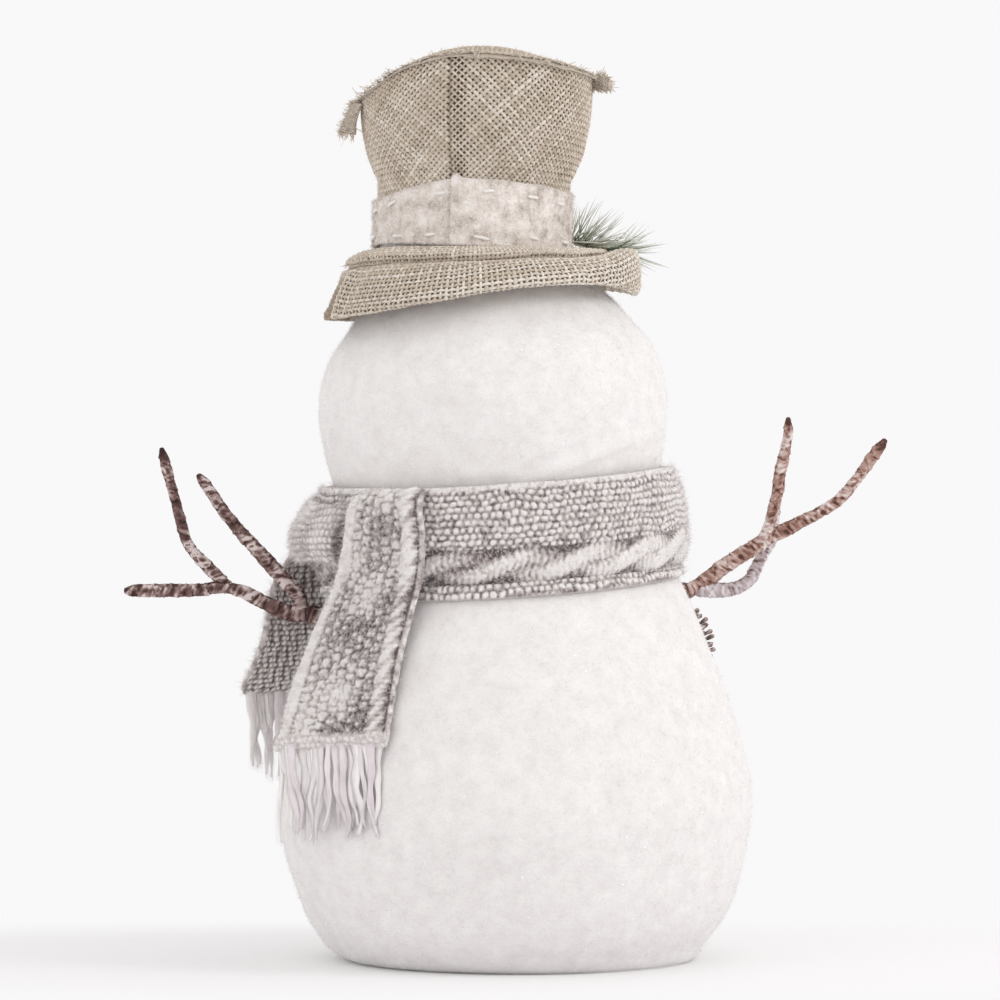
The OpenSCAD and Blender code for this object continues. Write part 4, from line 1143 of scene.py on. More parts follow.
def addBrim():
    look = brim
    side = np.arange(0, 360, 1.0)[:, None]
    grid = brimSection(side)
    out = normalsOf(grid, loopRows=True)
    if out[:, 10, 2].sum() < 0:
        out = -out
    steps = np.linalg.norm(np.diff(grid, axis=1), axis=2)
    run = np.concatenate([np.zeros((360, 1)), np.cumsum(steps, 1)], 1)  # along the cloth, out from the band
    at = np.arange(run.shape[1])
    table = np.stack([np.interp(np.arange(int(run.max()) + 2), r, at) for r in run])

    def rowAt(i, mark):  # the grid column at a length along the cloth, for each place round the brim
        low = np.floor(i).astype(int) % 360
        part = i - np.floor(i)
        near = np.clip(mark, 0, table.shape[1] - 1.001)
        k = np.floor(near).astype(int)
        a = table[low, k] * (1 - near + k) + table[low, k + 1] * (near - k)
        b = table[(low + 1) % 360, k] * (1 - near + k) + table[(low + 1) % 360, k + 1] * (near - k)
        return a * (1 - part) + b * part

    liner = grid - out * look["linerDepth"]
    inner = [polar(side, look["neckR"] + 0.3, liner[:, k:k + 1, 2]) for k in (liner.shape[1] - 1, 0)]
    closed = skin(np.concatenate([liner, *inner], 1), loopRows=True)
    # the cloth under the threads takes the darker middle-ply colour as painted shade in the gaps
    cloth = makePiece("brimCloth", closed, burlapMid, onHat)
    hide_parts("hat_brim")
    count = int(np.median(run[:, -1]) / look["pitch"])
    fold = brimFold(grid)
    for name, around, seed in (("brimThreadsAround", True, 51), ("brimThreadsAcross", False, 52)):
        if around:
            k = np.arange(count)[:, None]
            i = np.linspace(0, 360, look["aroundSamples"], endpoint=False)[None] + 0 * k
            mark = (k + 0.5) * look["pitch"] + 0 * i
            lift = look["lift"] * np.cos(np.pi * (i * look["upright"] / 360) + np.pi * k)
        else:
            k = np.arange(look["upright"])[:, None]
            mark = np.linspace(0, count, int(look["acrossSamples"] * count))[None] * look["pitch"] + 0 * k
            i = k * 360 / look["upright"] + 0 * mark
            lift = -look["lift"] * np.cos(np.pi * (mark / look["pitch"] - 0.5) + np.pi * k)
        j = rowAt(i, mark)
        normal = unit(onGrid(out, i, j))
        path = onGrid(grid, i, j) + normal * lift[..., None]
        rng = np.random.default_rng(seed)
        width = look["thread"] * (1 + 0.12 * rng.normal(size=(len(path), 1)) + 0.12 * lumps(path, 5, seed))
        shade = onGrid(fold[..., None], i, j)[..., 0]
        parts = (path, normal, width, shade)
        if around:
            parts = (np.concatenate([x, x[:, :1]], 1) for x in parts)
        path, normal, width, shade = parts
        shape = strands(path, normal, width, look["threadThick"], hat["threadSides"])
        # painted light and shade: paler towards the figure's right, the side of the key lamp, and painted
        # shade in the turned-in corner
        paintedLightAndShade = look["brighter"] - 0.16 * path[..., 0] / 77 - look["foldShade"] * shade
        tone = twill(path, seed) + np.repeat(paintedLightAndShade.ravel(), hat["threadSides"])
        makePiece(name, shape, burlap, onHat, tone=tone)
        makePiece(name + "Hairs", fibres(path, normal, look["hairs"], hat["hairs"], seed + 5),
                                burlapHair, onHat)
    # thread ends along the raw crease between the two layers
    rng = np.random.default_rng(55)
    n = look["creaseFray"]
    at = rng.uniform(0, 360, n)
    start = onGrid(grid, at, np.full(n, 22.5) + rng.normal(size=n) * 0.5) + [0, 0, 0.6]
    way = unit(polar(at, 0.8, 0) + [0, 0, -0.7] + 0.5 * rng.normal(size=(n, 3)))
    addFray("brimCreaseFray", start, way, [0, 0, 1.0], look["creaseFrayLong"], 56, width=0.95)


bandLook = {"inner": 47.35, "thick": 1.55, "low": -2.2, "high": 28.8, "start": 78, "overlap": 12, "lap": 1.75,
            "stitchLong": 7.2, "stitchThick": 1.75,
            "upperStitches": (41, 27.5, 13), "lowerStitches": (9, 29.5, 12),
            "rows": 44, "faceFuzz": 14000, "edgeFuzz": 3800,
            "fuzz": {"length": 2.0, "stand": 0.8, "width": 0.18, "spread": 0.5}}


def bandTop(side):
    c = np.cos(np.radians(side))
    return bandLook["high"] - 10 * np.maximum(0, c) ** 1.6 - 3.5 * np.maximum(0, -c) ** 2


def bandRadius(side):  # along the felt from its outer end, which laps over the other
    t = np.clip((side - bandLook["start"]) / 60, 0, 1)
    return bandLook["inner"] + bandLook["lap"] * (1 - t * t * (3 - 2 * t))


def addFeltBand():
    look = bandLook
    side = np.arange(look["start"], look["start"] + 360 + look["overlap"], 0.8)[:, None]
    share = np.linspace(0, 1, look["rows"])[None]
    low = look["low"] + 0.5 * np.sin(np.radians(side * 3))
    top = bandTop(side) + 0.7 * lumps(polar(side, 60, 0), 14, 20)
    peak = 2.2 * np.exp(-((side - look["start"] - 2.5) / 2.5) ** 2)
    z = low + (top + peak - low) * share
    bend = np.linspace(0, np.pi, 5)[1:-1]
    inner = bandRadius(side) + 0 * share
    outer = inner + look["thick"]
    middle = (inner + outer)[:, :1] / 2
    reach = look["thick"] / 2 * np.cos(bend)[None]
    topEdge = polar(side, middle + reach, z[:, -1:] + 0.8 * np.sin(bend)[None])
    lowEdge = polar(side, middle - reach, z[:, :1] - 0.6 * np.sin(bend)[None])
    grid = np.concatenate([polar(side, outer, z), topEdge, polar(side, inner, z)[:, ::-1], lowEdge], 1)
    out = unit(grid * [1, 1, 0])
    soft = 0.55 * lumps(grid, 15, 21) + 0.25 * lumps(grid, 5, 22) + 0.12 * lumps(grid, 1.6, 23)
    grid = grid + out * (soft + 0.4)[..., None]
    rows, columns = grid.shape[:2]
    ring = np.arange(columns)[None]
    faces = [gridFaces(rows, columns, loopColumns=True), ring, ring[:, ::-1] + (rows - 1) * columns]
    band = makePiece("feltBand", (grid, faces), felt, onHat)
    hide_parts("hat_band")
    face = grid[:, :look["rows"]]
    pile = fibres(face, out[:, :look["rows"]], look["faceFuzz"], look["fuzz"], 24)
    pieces = [makePiece("feltBandFuzz", pile, feltFuzz, onHat)]
    rims = np.concatenate([face[:, -1], face[:, 0]])
    ends = np.concatenate([0 * face[:, -1] + [0, 0, 1.0], 0 * face[:, 0] - [0, 0, 1.0]])
    pieces.append(makePiece("feltEdgeFuzz", fibres(rims, ends, look["edgeFuzz"], look["fuzz"], 25),
                            feltFuzz, onHat))
    # running stitches along both edges
    paths = []
    rng = np.random.default_rng(26)
    rows = [(first + gap * k, upper) for upper, (first, gap, count) in
            ((True, look["upperStitches"]), (False, look["lowerStitches"])) for k in range(count)]
    samples = 12
    for azimuth, upper in rows:
        t = np.linspace(-0.5, 0.5, samples)
        at = azimuth + rng.normal() * 2 + np.degrees(look["stitchLong"] * rng.uniform(0.8, 1.15) * t / 50)
        lead = (at - look["start"]) % 360 + look["start"]
        r = bandRadius(lead) + look["thick"] + 0.5 + 0.8 * np.cos(np.pi * t) - 0.2
        height = (bandTop(at) - 5.2 if upper else look["low"] + 3.4) + rng.normal() * 0.5 + rng.normal() * t
        paths.append(polar(at, r, height))
    paths = np.array(paths)
    t = np.linspace(-1, 1, samples)[None]
    wide = look["stitchThick"] * np.sqrt(np.maximum(0.08, 1 - t ** 4))
    shape = strands(paths, unit(paths * [1, 1, 0]), wide, wide * 0.8, 8)
    pieces.append(makePiece("bandStitches", shape, stitchYarn, onHat))


addCrown()
addTop()
addCrownFray()
addFlap("leftCornerFlap", (6.0, 59.4, 87.0), polar(28, 1, 0), [0.3, 0, -1], 18, 16, 47)
addFlap("rightCornerFlap", (172.0, 58, 87.2), polar(110, 1, 0), [-0.95, 0, -0.3], 8, 7, 48)
addBrim()
addFeltBand()
print("hat woven and banded")

sprig = {"needles": 150, "long": 25, "wide": 0.85, "taper": (0.8, 1.0, 1.0, 0.95, 0.85, 0.6, 0.2),
         "lowestTurn": 110, "twig": 2.6, "twigTip": 1.4}
twigLine = smoothLine([[-43, -33, 6], [-55, -38, 4], [-66, -42, 2], [-76, -45, 1]], 10)


def addSprig():
    look = sprig
    taper = np.linspace(look["twig"], look["twigTip"], len(twigLine))[None]
    wood = strands(twigLine[None], np.array([0, 0, 1.0]), taper, look["twig"] * 0.8, 10)
    twig = makePiece("sprigTwig", wood, twigBark, onHat)
    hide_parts("pine_twig")
    rng = np.random.default_rng(61)
    n = look["needles"]
    at = np.clip(0.1 + 0.9 * (np.arange(n) + rng.uniform(0, 1, n)) / n, 0, 1) * (len(twigLine) - 1)
    base = np.stack([np.interp(at, np.arange(len(twigLine)), twigLine[:, k]) for k in range(3)], -1)
    along = unit(twigLine[-1] - twigLine[-8])
    across = unit(np.cross(along, [0, 0, 1]))
    up = np.cross(across, along)
    share = at / (len(twigLine) - 1)
    # the outer half stands above and below the twig, and the inner half fans over it, clear of the brim
    turned = np.where(rng.uniform(0, 1, n) < 0.45, 180, 0) + 55 * rng.normal(size=n)
    turn = np.radians(np.where(share > 0.5, turned, rng.uniform(-1, 1, n) * look["lowestTurn"]))
    spread = np.radians(np.where(share > 0.5, rng.uniform(12, 66, n), rng.uniform(36, 82, n)))
    away = np.sin(turn)[:, None] * across + np.cos(turn)[:, None] * up
    way = np.cos(spread)[:, None] * along + np.sin(spread)[:, None] * away
    t = np.linspace(0, 1, len(look["taper"]))[None, :, None]
    long = (look["long"] * rng.uniform(0.72, 1.0, n))[:, None, None]
    bent = 0.035 * long * t ** 2 * rng.normal(size=(n, 1, 3))
    path = base[:, None] + 0.7 * away[:, None] + way[:, None] * long * t + bent
    wide = look["wide"] * np.array(look["taper"])[None]
    sides = 5
    shape = strands(path, away[:, None], wide, wide * 0.6, sides)
    tone = np.repeat((t[..., 0] + 0.15 * rng.normal(size=(n, 1))).ravel(), sides)
    needles = makePiece("sprigNeedles", shape, needleCoat, onHat, tone=tone)
    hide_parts("pine_needles")


twigBark = mottled("pine wood, bare", bark, {"mottle": 3, "fibre": 0.7, "tone": 0.0, "roughness": 0.8,
                                            "colours": [(0.3, "#4d4438"), (0.7, "#8d8270")]})
# moulded polyethylene needles, green at the foot and frosted white at the tip
needleCoat = mottled("polyethylene needles, moulded and flocked", bark, {
    "mottle": 6, "fibre": 1.2, "tone": 0.72, "roughness": 0.6,
    "colours": [(0.1, "#647058"), (0.3, "#99a28e"), (0.5, "#c9cdc1"), (0.75, "#eeefeb")]})
addSprig()
print("sprig pinned on")

# ---- arms ----

arms = {
    "left": {"side": -12, "z": 171, "rise": 30, "hub": 2.5},
    "right": {"side": 210, "z": 169.5, "rise": 22, "hub": 8},
    "stemWide": 7.1, "stemLong": 62, "lashingLong": 7, "lashingWide": (11.6, 10.4), "lashingWrap": 2.6,
    "wrap": 7.4, "tightWrap": 4.6, "wrapStep": 0.34, "wrinkle": 0.4, "marks": 36, "markGap": 0.55,
}
# each limb: its node, the line that it follows up the arm, and how wide it is at its root and near its tip
leftTwigs = {
    "leftMainTwig": ("left_main_twig", [
        [0.4, 0, 7.5], [-1.4, 0, 12], [-4, 0, 16.5], [-5, -0.8, 23], [-5.3, -2, 33], [-5.3, -3.5, 44],
        [-8, -5.6, 54], [-14.7, -8, 64], [-22.7, -11, 80], [-31, -14, 96]], 7.6, 5.4),
    "leftUpperTwig": ("left_upper_twig", [
        [-1.2, 0, 11], [1.8, 0, 14], [4.6, 0, 17], [7.6, -1, 21.5], [10, -1, 29], [14, -2, 40],
        [19.3, -3, 54], [25.8, -4, 69], [32.8, -3.5, 82], [36.8, -3.5, 90.5]], 7.2, 5.4),
    "leftFingerTwig": ("left_finger_twig", [
        [-6.6, -4.3, 48.5], [-6, -5.2, 52.5], [-3.8, -7, 58], [-1, -9, 65], [5, -12, 78], [16.3, -13.5, 88],
        [30.3, -15.5, 100], [42, -17, 110]], 6.0, 4.6),
}
rightTwigs = {
    "rightMainTwig": ("right_main_twig", [
        [0, 0, 13], [-1, 0.1, 18], [-0.7, 1.5, 24], [1.8, 5.2, 34], [4, 9, 44.5], [5.4, 13, 55],
        [7, 16.5, 63.5], [7.2, 21, 72], [8, 25.7, 81.5], [8.8, 30.6, 91], [10.8, 34.6, 99],
        [15.2, 38, 107.5], [21.4, 41.3, 118], [29, 45.5, 131]], 7.6, 5.4),
    "rightLowerTwig": ("right_lower_twig", [
        [-1, 0.6, 20], [-3.2, 1.6, 23], [-7, 4, 30], [-10.2, 6, 39], [-10, 7, 47.5], [-6.6, 6.2, 54.5],
        [-2.4, 4.8, 62], [0.4, 2, 70.5], [4, -4.8, 79], [9, -12, 88], [16.5, -20, 99]], 7.2, 5.4),
    "rightFingerTwig": ("right_finger_twig", [
        [5.9, 14.4, 58.5], [9.4, 15.6, 62.5], [14, 16.6, 67], [19.4, 17.8, 71], [26, 19, 76], [34.4, 20, 81],
        [41.7, 21, 86.5], [50, 22.4, 92], [58.4, 22.7, 96]], 6.0, 4.6),
}


def inArm(points, arm):  # from the arm's own upright frame to the figure's
    turned = tilted(np.asarray(points, float) @ np.diag([-1, -1, 1.0]), 90 - arm["rise"])
    return leaned(swung(turned + [bodyR(arm["z"]), 0, arm["z"]], arm["side"]))


def paperTube(line, root, tip, seed, wrap=None):
    # a wire limb wound with crepe paper: overlaps in a spiral, cross wrinkles, and a twisted point
    line = evenly(smoothLine(line, 10), arms["markGap"])
    n = len(line)
    ahead = unit(np.gradient(line, axis=0))
    sideways = [unit(np.array([1.0, 0, 0]) - ahead[0] * ahead[0, 0])]
    for step in ahead[1:]:
        sideways.append(unit(sideways[-1] - step * (sideways[-1] @ step)))
    sideways = np.array(sideways)
    mark = np.linspace(0, 1, n)[:, None]
    run = mark * arms["markGap"] * (n - 1)
    columns = arms["marks"]
    around = np.linspace(0, 2 * np.pi, columns, endpoint=False)[None]
    upward = np.cross(ahead, sideways)
    cos, sin = np.cos(around), np.sin(around)
    spoke = sideways[:, None] * cos[..., None] + upward[:, None] * sin[..., None]
    radius = (root + (tip - root) * mark) / 2
    left = run[-1] - run
    radius = radius * (0.3 + 0.7 * np.clip(left / 5.5, 0, 1) ** 0.6)
    radius = radius * (0.62 + 0.38 * np.clip(run / 3.0, 0, 1))
    pitch = wrap or arms["wrap"]
    bent = run + 1.1 * np.sin(2 * around + seed + run / 5) + 1.4 * np.sin(run / 6.1 + seed)
    turn = (bent / pitch + around / (2 * np.pi)) % 1
    layer = run / pitch + around / (2 * np.pi)
    step = arms["wrapStep"] * (0.75 + 0.6 * np.sin(2.4 * np.floor(layer) + seed))
    seat = step * (0.5 - turn) * np.clip(left / 6, 0.2, 1)
    fray = 0.16 * np.exp(-((turn - 0.04) / 0.05) ** 2)
    spot = line[:, None] + spoke * radius[..., None]
    # crushed across the limb: creases that run round it, slanting with the wrap
    slant = run + 0.55 * cos * pitch / 3
    crush = np.stack([slant, 1.5 * cos + 0 * run, 1.5 * sin + seed + 0 * run], -1)
    crease = 1 - 2.2 * np.abs(lumps(crush, 1.5, seed + 3))
    crinkle = 0.5 * crease + 0.4 * lumps(crush, 0.95, seed + 4) + 0.3 * lumps(spot, 2.4, seed)
    crinkle = arms["wrinkle"] * crinkle
    bumps = 0.35 * lumps(spot, 9, seed + 2)
    radius = radius + (seat + fray + crinkle + bumps) * np.clip(radius / 2.2, 0.2, 1)
    squash = 1 + 0.1 * np.sin(2 * around + run / 15 + seed)
    grid = line[:, None] + spoke * (radius * squash)[..., None]
    ring = np.arange(columns)[None]
    faces = [gridFaces(n, columns, loopColumns=True), ring[:, ::-1], ring + (n - 1) * columns]
    end = np.clip(1 - left / 9, 0, 1)
    frost = np.clip(0.5 + 0.8 * lumps(spot, 11, seed + 5) + 0.4 * lumps(crush, 2.2, seed + 6), 0, 1.2)
    # tone: frost on the crinkle ridges; painted light on the raised edge of each turn of the wrap, fading to
    # painted shade in the step under the next turn
    tone = 0.42 + 0.12 * (1 - 2 * turn) + (0.42 + 0.55 * frost) * crinkle / arms["wrinkle"]
    tone = tone + 0.22 * (frost - 0.5)
    # darker towards the point, and a line of painted shade just under the edge of each turn
    tone = tone - 0.5 * end - 0.35 * np.exp(-((turn - 0.985) / 0.04) ** 2)
    return grid, faces, tone.ravel()


def addTwigs(arm, twigs, body, material, seed):
    for name, (node, line, root, tip) in twigs.items():
        lower = name == "rightLowerTwig"
        grid, faces, tone = paperTube(line, root + 0.4, tip, seed, arms["tightWrap"] if lower else None)
        seed += 3
        twig = makePiece(name, (inArm(grid, arm), faces), litPaleBark if lower else material,
                         body=body, tone=tone)
        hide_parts(node)


def addRoot(arm, body, name, stemNode, bindingNode, material, seed):
    # the wound stem that turns in the body, and the lashing where the limbs part
    hub = arm["hub"]
    line = [[0, 0, -arms["stemLong"]], [0, 0, -20], [0, 0, hub + 0.5]]
    grid, faces, tone = paperTube(line, arms["stemWide"], arms["stemWide"], seed)
    stem = makePiece(name + "Stem", (inArm(grid, arm), faces), material, body=body, tone=tone)
    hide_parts(stemNode)
    line = [[0, 0, hub - 0.6], [0.2, 0, hub + 3], [0, 0, hub + arms["lashingLong"] + 2.5]]
    grid, faces, tone = paperTube(line, *arms["lashingWide"], seed + 1, arms["lashingWrap"])
    tone = tone - 0.1
    lashing = makePiece(name + "Lashing", (inArm(grid, arm), faces), material, body=body, tone=tone)
    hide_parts(bindingNode)


# crepe paper wound on wire, brushed with thinned white: dark folds and frosted ridges
darkBark = mottled("crepe paper, painted brown", bark, {
    "mottle": 9, "fibre": 0.8, "tone": 0.68, "roughness": 0.75,
    "colours": [(0.18, "#35221f"), (0.34, "#583d39"), (0.5, "#7d625e"), (0.64, "#a8938f"),
                (0.78, "#dacdca")]})
# the right arm's copy of the brown paper, paler as painted light on the side of the key lamp
litBrownBark = mottled("crepe paper, brown with painted light", bark, {
    "mottle": 8, "fibre": 0.8, "tone": 0.66, "roughness": 0.8,
    "colours": [(0.2, "#543730"), (0.36, "#8b6659"), (0.52, "#ae8e84"), (0.68, "#c7b1ab"), (0.9, "#e6dcd9")]})
# the right arm's lower limb, paler still as painted light
litPaleBark = mottled("crepe paper, brown with more painted light", bark, {
    "mottle": 7, "fibre": 0.8, "tone": 0.6, "roughness": 0.8,
    "colours": [(0.2, "#75615f"), (0.36, "#ab9b9d"), (0.55, "#cbc0c3"), (0.8, "#ebe6e8")]})
addTwigs(arms["left"], leftTwigs, "left_arm", darkBark, 71)
# the right arm takes the paler copies: painted light
addTwigs(arms["right"], rightTwigs, "right_arm", litBrownBark, 81)
addRoot(arms["left"], "left_arm", "leftArm", "left_stem", "left_binding", darkBark, 91)
addRoot(arms["right"], "right_arm", "rightArm", "right_stem", "right_binding", litBrownBark, 94)
print("arms wound")

# ---- cone ----

cone = {"length": 34, "across": 19, "core": 3.2, "side": 210, "top": 166.5,
        "scales": 44, "scaleRows": 12, "scaleColumns": 20, "seat": 0.4, "tipReach": 1.12,
        "goldenAngle": 137.508, "twine": 1.6, "twineAt": 4.4, "twineLay": 2.6, "ply": 0.86, "plyApart": 0.36,
        "stemR": 3.6, "gap": 0.3}


def coneCore(t):
    return cone["core"] * (1 - 0.55 * t) * np.sin(np.radians(18 + 160 * t)) ** 0.4


def conePlaces():
    long = cone["length"]
    near = bodyR(cone["top"])
    lean = math.degrees(math.atan2(bodyR(cone["top"] - 0.85 * long) - near, 0.85 * long))
    out = bodyR(cone["top"] - 0.4 * long) - near + cone["across"] / 2 + 4 * cone["gap"]
    reach = near + out - 0.4 * long * math.tan(math.radians(lean))
    return polar(cone["side"], reach, cone["top"]), lean


def onCone(points):
    top, lean = conePlaces()
    return leaned(swung(tilted(points, 180 - lean), cone["side"]) + top)


def addCone():
    look = cone
    rows = np.linspace(0, 1, 60)
    t = np.clip((rows - 0.02) / 0.96, 0, 1)
    r = np.where((rows > 0) & (rows < 1), np.maximum(coneCore(t), 0.2), 0.15)
    side = np.linspace(0, 360, 40, endpoint=False)
    grid = polar(side[None], r[:, None], look["length"] * (0.035 + 0.91 * rows)[:, None])
    grid = grid + unit(grid * [1, 1, 0]) * (0.12 * lumps(grid, 1.5, 101))[..., None]
    tone = np.full(grid[..., 0].size, 0.1)
    core = makePiece("coneCore", skin(grid), coneWood, onCone, "pine_cone", tone)
    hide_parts("cone_core")
    # one scale: a thin stalk that swells to a ridged shield with a point in its middle
    rows, columns = look["scaleRows"], look["scaleColumns"]
    ring = np.arange(columns)[None]
    faces = [gridFaces(rows, columns, loopColumns=True), ring[:, ::-1], ring + (rows - 1) * columns]
    u = np.linspace(0, 1, rows)
    v = np.linspace(0, 2 * np.pi, columns, endpoint=False)
    rng = np.random.default_rng(102)
    parts = []
    tones = []
    for i in range(look["scales"]):
        place = (i + 0.5) / look["scales"]
        reach = look["across"] / 2 * math.sin(math.radians(22 + 150 * place)) ** 0.6 - coneCore(place)
        rise = 58 - 44 * place
        wide = (2.2 + 0.45 * reach) * rng.uniform(0.95, 1.06)
        reach *= look["tipReach"]
        half = np.interp(u, [0, 0.3, 0.6, 0.82, 1], [1.0, 0.5 * wide, 0.72 * wide, 0.56 * wide, 0.25])
        thick = np.interp(u, [0, 0.4, 0.75, 0.9, 1], [0.45, 0.5, 0.85, 0.9, 0.25])
        x = reach * u[:, None] + 0 * v
        y = half[:, None] * np.cos(v) * np.abs(np.cos(v)) ** 0.05
        arch = 0.75 + 0.35 * np.sin(np.pi * u)[:, None]
        ridge = 0.5 * np.exp(-(y / (0.3 * wide)) ** 2) * np.clip((u[:, None] - 0.6) / 0.3, 0, 1)
        z = arch + thick[:, None] * np.sin(v) + ridge * np.maximum(0, np.sin(v))
        shape = np.stack([x, y, z], -1)
        shape = shape + 0.06 * lumps(shape + i * 7.0, 0.9, 103)[..., None]
        turned = tilted(shape, -(90 - rise) + 60) + [coneCore(place) + look["seat"], 0,
                                                    look["length"] * (0.06 + 0.84 * place)]
        parts.append((swung(turned, look["goldenAngle"] * i), faces))
        # tone: paler towards the tip on one face of each scale for its limewash; the foot of each scale and
        # its other face stay dark as painted shade between the scales
        shade = 0.15 + 0.85 * np.clip((u[:, None] - 0.45) / 0.5, 0, 1) * (0.5 - 0.5 * np.sin(v)[None])
        tones.append((shade + rng.normal() * 0.06).ravel())
    tone = np.concatenate(tones)
    scales = makePiece("coneScales", joined(*parts), coneWood, onCone, "pine_cone", tone)
    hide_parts("cone_scales")


def addTwine():
    # two plies laid round each other: a loop on the stem, and the length that the cone hangs from
    look = cone
    arm = arms["right"]
    loopR = look["stemR"] + look["gap"] + look["twine"] / 2
    a = np.linspace(0, 2 * np.pi, 160, endpoint=False)
    loop = np.stack([loopR * np.cos(a), loopR * np.sin(a), look["twineAt"] + 0.25 * np.sin(2 * a)], -1)
    top, _ = conePlaces()
    rise = math.radians(arm["rise"])
    x, z = -loopR, look["twineAt"]
    start = polar(arm["side"], bodyR(arm["z"]) + z * math.cos(rise) - x * math.sin(rise),
                  arm["z"] + z * math.sin(rise) + x * math.cos(rise))
    line = start + (top + [0, 0, 0.6] - start) * np.linspace(0, 1, 40)[:, None]
    line = clearOf(line, look["twine"] / 2 + look["gap"])
    parts = []
    for path, onStem in ((loop, True), (line, False)):
        path = np.concatenate([path, path[:1]]) if onStem else evenly(path, 0.2)
        ahead = unit(np.gradient(path, axis=0))
        across = unit(np.cross(ahead, [0.3, 0.2, 1.0]))
        up = np.cross(ahead, across)
        run = np.concatenate([[0], np.cumsum(np.linalg.norm(np.diff(path, axis=0), axis=1))])
        turns = max(1, round(run[-1] / look["twineLay"]))
        for ply in (0, np.pi):
            turn = (2 * np.pi * turns * run / run[-1] + ply)[:, None]
            lay = path + look["plyApart"] * (np.cos(turn) * across + np.sin(turn) * up)
            lay = inArm(lay, arm) if onStem else leaned(lay)
            wide = np.full((1, len(lay)), look["ply"])
            parts.append(strands(lay[None], unit(up)[None], wide, look["ply"], 8))
    shape = joined(*parts)
    twine = makePiece("coneTwine", shape, twineFibre, body="pine_cone",
                      tone=np.random.default_rng(104).uniform(0.2, 0.8, len(shape[0])))
    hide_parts("twine")


# the darkest colours carry the painted shade between the scales, the palest the limewash on their tips
coneWood = mottled("pine cone, dried and limewashed", bark, {
    "mottle": 4, "fibre": 0.8, "tone": 0.6, "roughness": 0.75,
    "colours": [(0.15, "#4e3a34"), (0.4, "#806a62"), (0.62, "#b29d97"), (0.85, "#dccfcb")]})
twineFibre = mottled("jute twine, two ply", bark, {
    "mottle": 2, "fibre": 0.5, "tone": 0.35, "roughness": 0.9,
    "colours": [(0.25, "#5d4a40"), (0.5, "#86705f"), (0.75, "#b09c8a")]})
addCone()
addTwine()
print("cone hung")

# ---- face, buttons and base ----

face = {"nose": 46, "noseWide": 18, "noseRise": -6, "noseColumns": 90, "noseFuzz": 5200,
        "nosePile": {"length": 1.5, "stand": 0.6, "width": 0.1, "spread": 0.9},
        "eye": 12, "eyeSide": 17, "eyeRise": 16, "eyeColumns": 64}
coatButtons = {"wide": 22, "thick": 4, "heights": {"upper": 156, "lower": 116}, "hole": 1.1, "holeSide": 0.12,
               "pad": 1.25, "columns": 120, "padMarks": 121, "threads": (-0.55, 0.0, 0.5), "threadWide": 0.62,
               "threadThick": 0.55, "threadSamples": 26}


def facing(line, z, side, up=0):
    # the function that takes points from a piece's own upright frame to its seat on the head or body
    slope = math.degrees(math.atan2(radiusAt(line, z + 2) - radiusAt(line, z - 2), 4))
    seat = [radiusAt(line, z), 0, z]
    return lambda points: leaned(swung(tilted(points, 90 + slope) + seat, side) + [0, 0, up])


def turnedShape(line, columns):
    side = np.linspace(0, 360, columns, endpoint=False)
    return polar(side[None], line[:, :1], line[:, 1:] + 0 * side)


def addNose():
    look = face
    half = look["noseWide"] / 2
    long = look["nose"]
    seat = half ** 2 / 172 + 0.3
    t = np.linspace(0.06, 0.97, 60)
    side = np.sqrt(np.clip(1 - ((t - 0.06) / 0.94) ** 12, 0, 1))
    r = half * (1 - 0.78 * t ** 0.8) * side
    foot = [[0.2, 0.3], [half - 1.4, 0.35], [half - 0.5, seat + 0.3], [half - 0.12, seat + 1.2]]
    line = np.concatenate([foot, np.stack([r, 0.3 + long * t], -1)[3:], [[0.1, long * 0.985]]])
    grid = turnedShape(evenly(line, 0.6), look["noseColumns"])
    out = normalsOf(grid, loopColumns=True)
    if (out[30] * unit(grid[30] * [1, 1, 0])).sum() < 0:
        out = -out
    ring = 0.28 * np.sin(grid[..., 2] * 1.15 + 1.5 * lumps(grid, 9, 110)) * np.clip(grid[..., 2] / 8, 0, 1)
    grid = grid + out * (0.35 * lumps(grid, 7, 111) + 0.12 * lumps(grid, 1.4, 112) + 0.4 * ring)[..., None]
    place = facing(headLine, look["noseRise"], -90, figure["headZ"])
    nose = makePiece("feltNose", skin(grid), noseFelt, place)
    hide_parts("nose")
    pile = fibres(grid[4:], out[4:], look["noseFuzz"], look["nosePile"], 113)
    makePiece("feltNoseFuzz", pile, noseFuzz, place)


def addEyes():
    look = face
    half = look["eye"] / 2
    a = np.radians(np.linspace(4, 90, 22))
    dome = np.stack([half * np.cos(a), 1 + look["eye"] * 0.3 * np.sin(a)], -1)
    line = np.concatenate([[[0.1, 0.3], [half - 0.7, 0.3], [half - 0.15, 0.75], [half, 1.15]], dome])
    line[-1, 0] = 0.05
    grid = turnedShape(line, look["eyeColumns"])
    for part, turn in (("left", look["eyeSide"]), ("right", -look["eyeSide"])):
        place = facing(headLine, look["eyeRise"], turn - 90, figure["headZ"])
        eye = makePiece(part + "Eye", skin(grid), eyeGloss, place)
        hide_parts(part + "_eye")


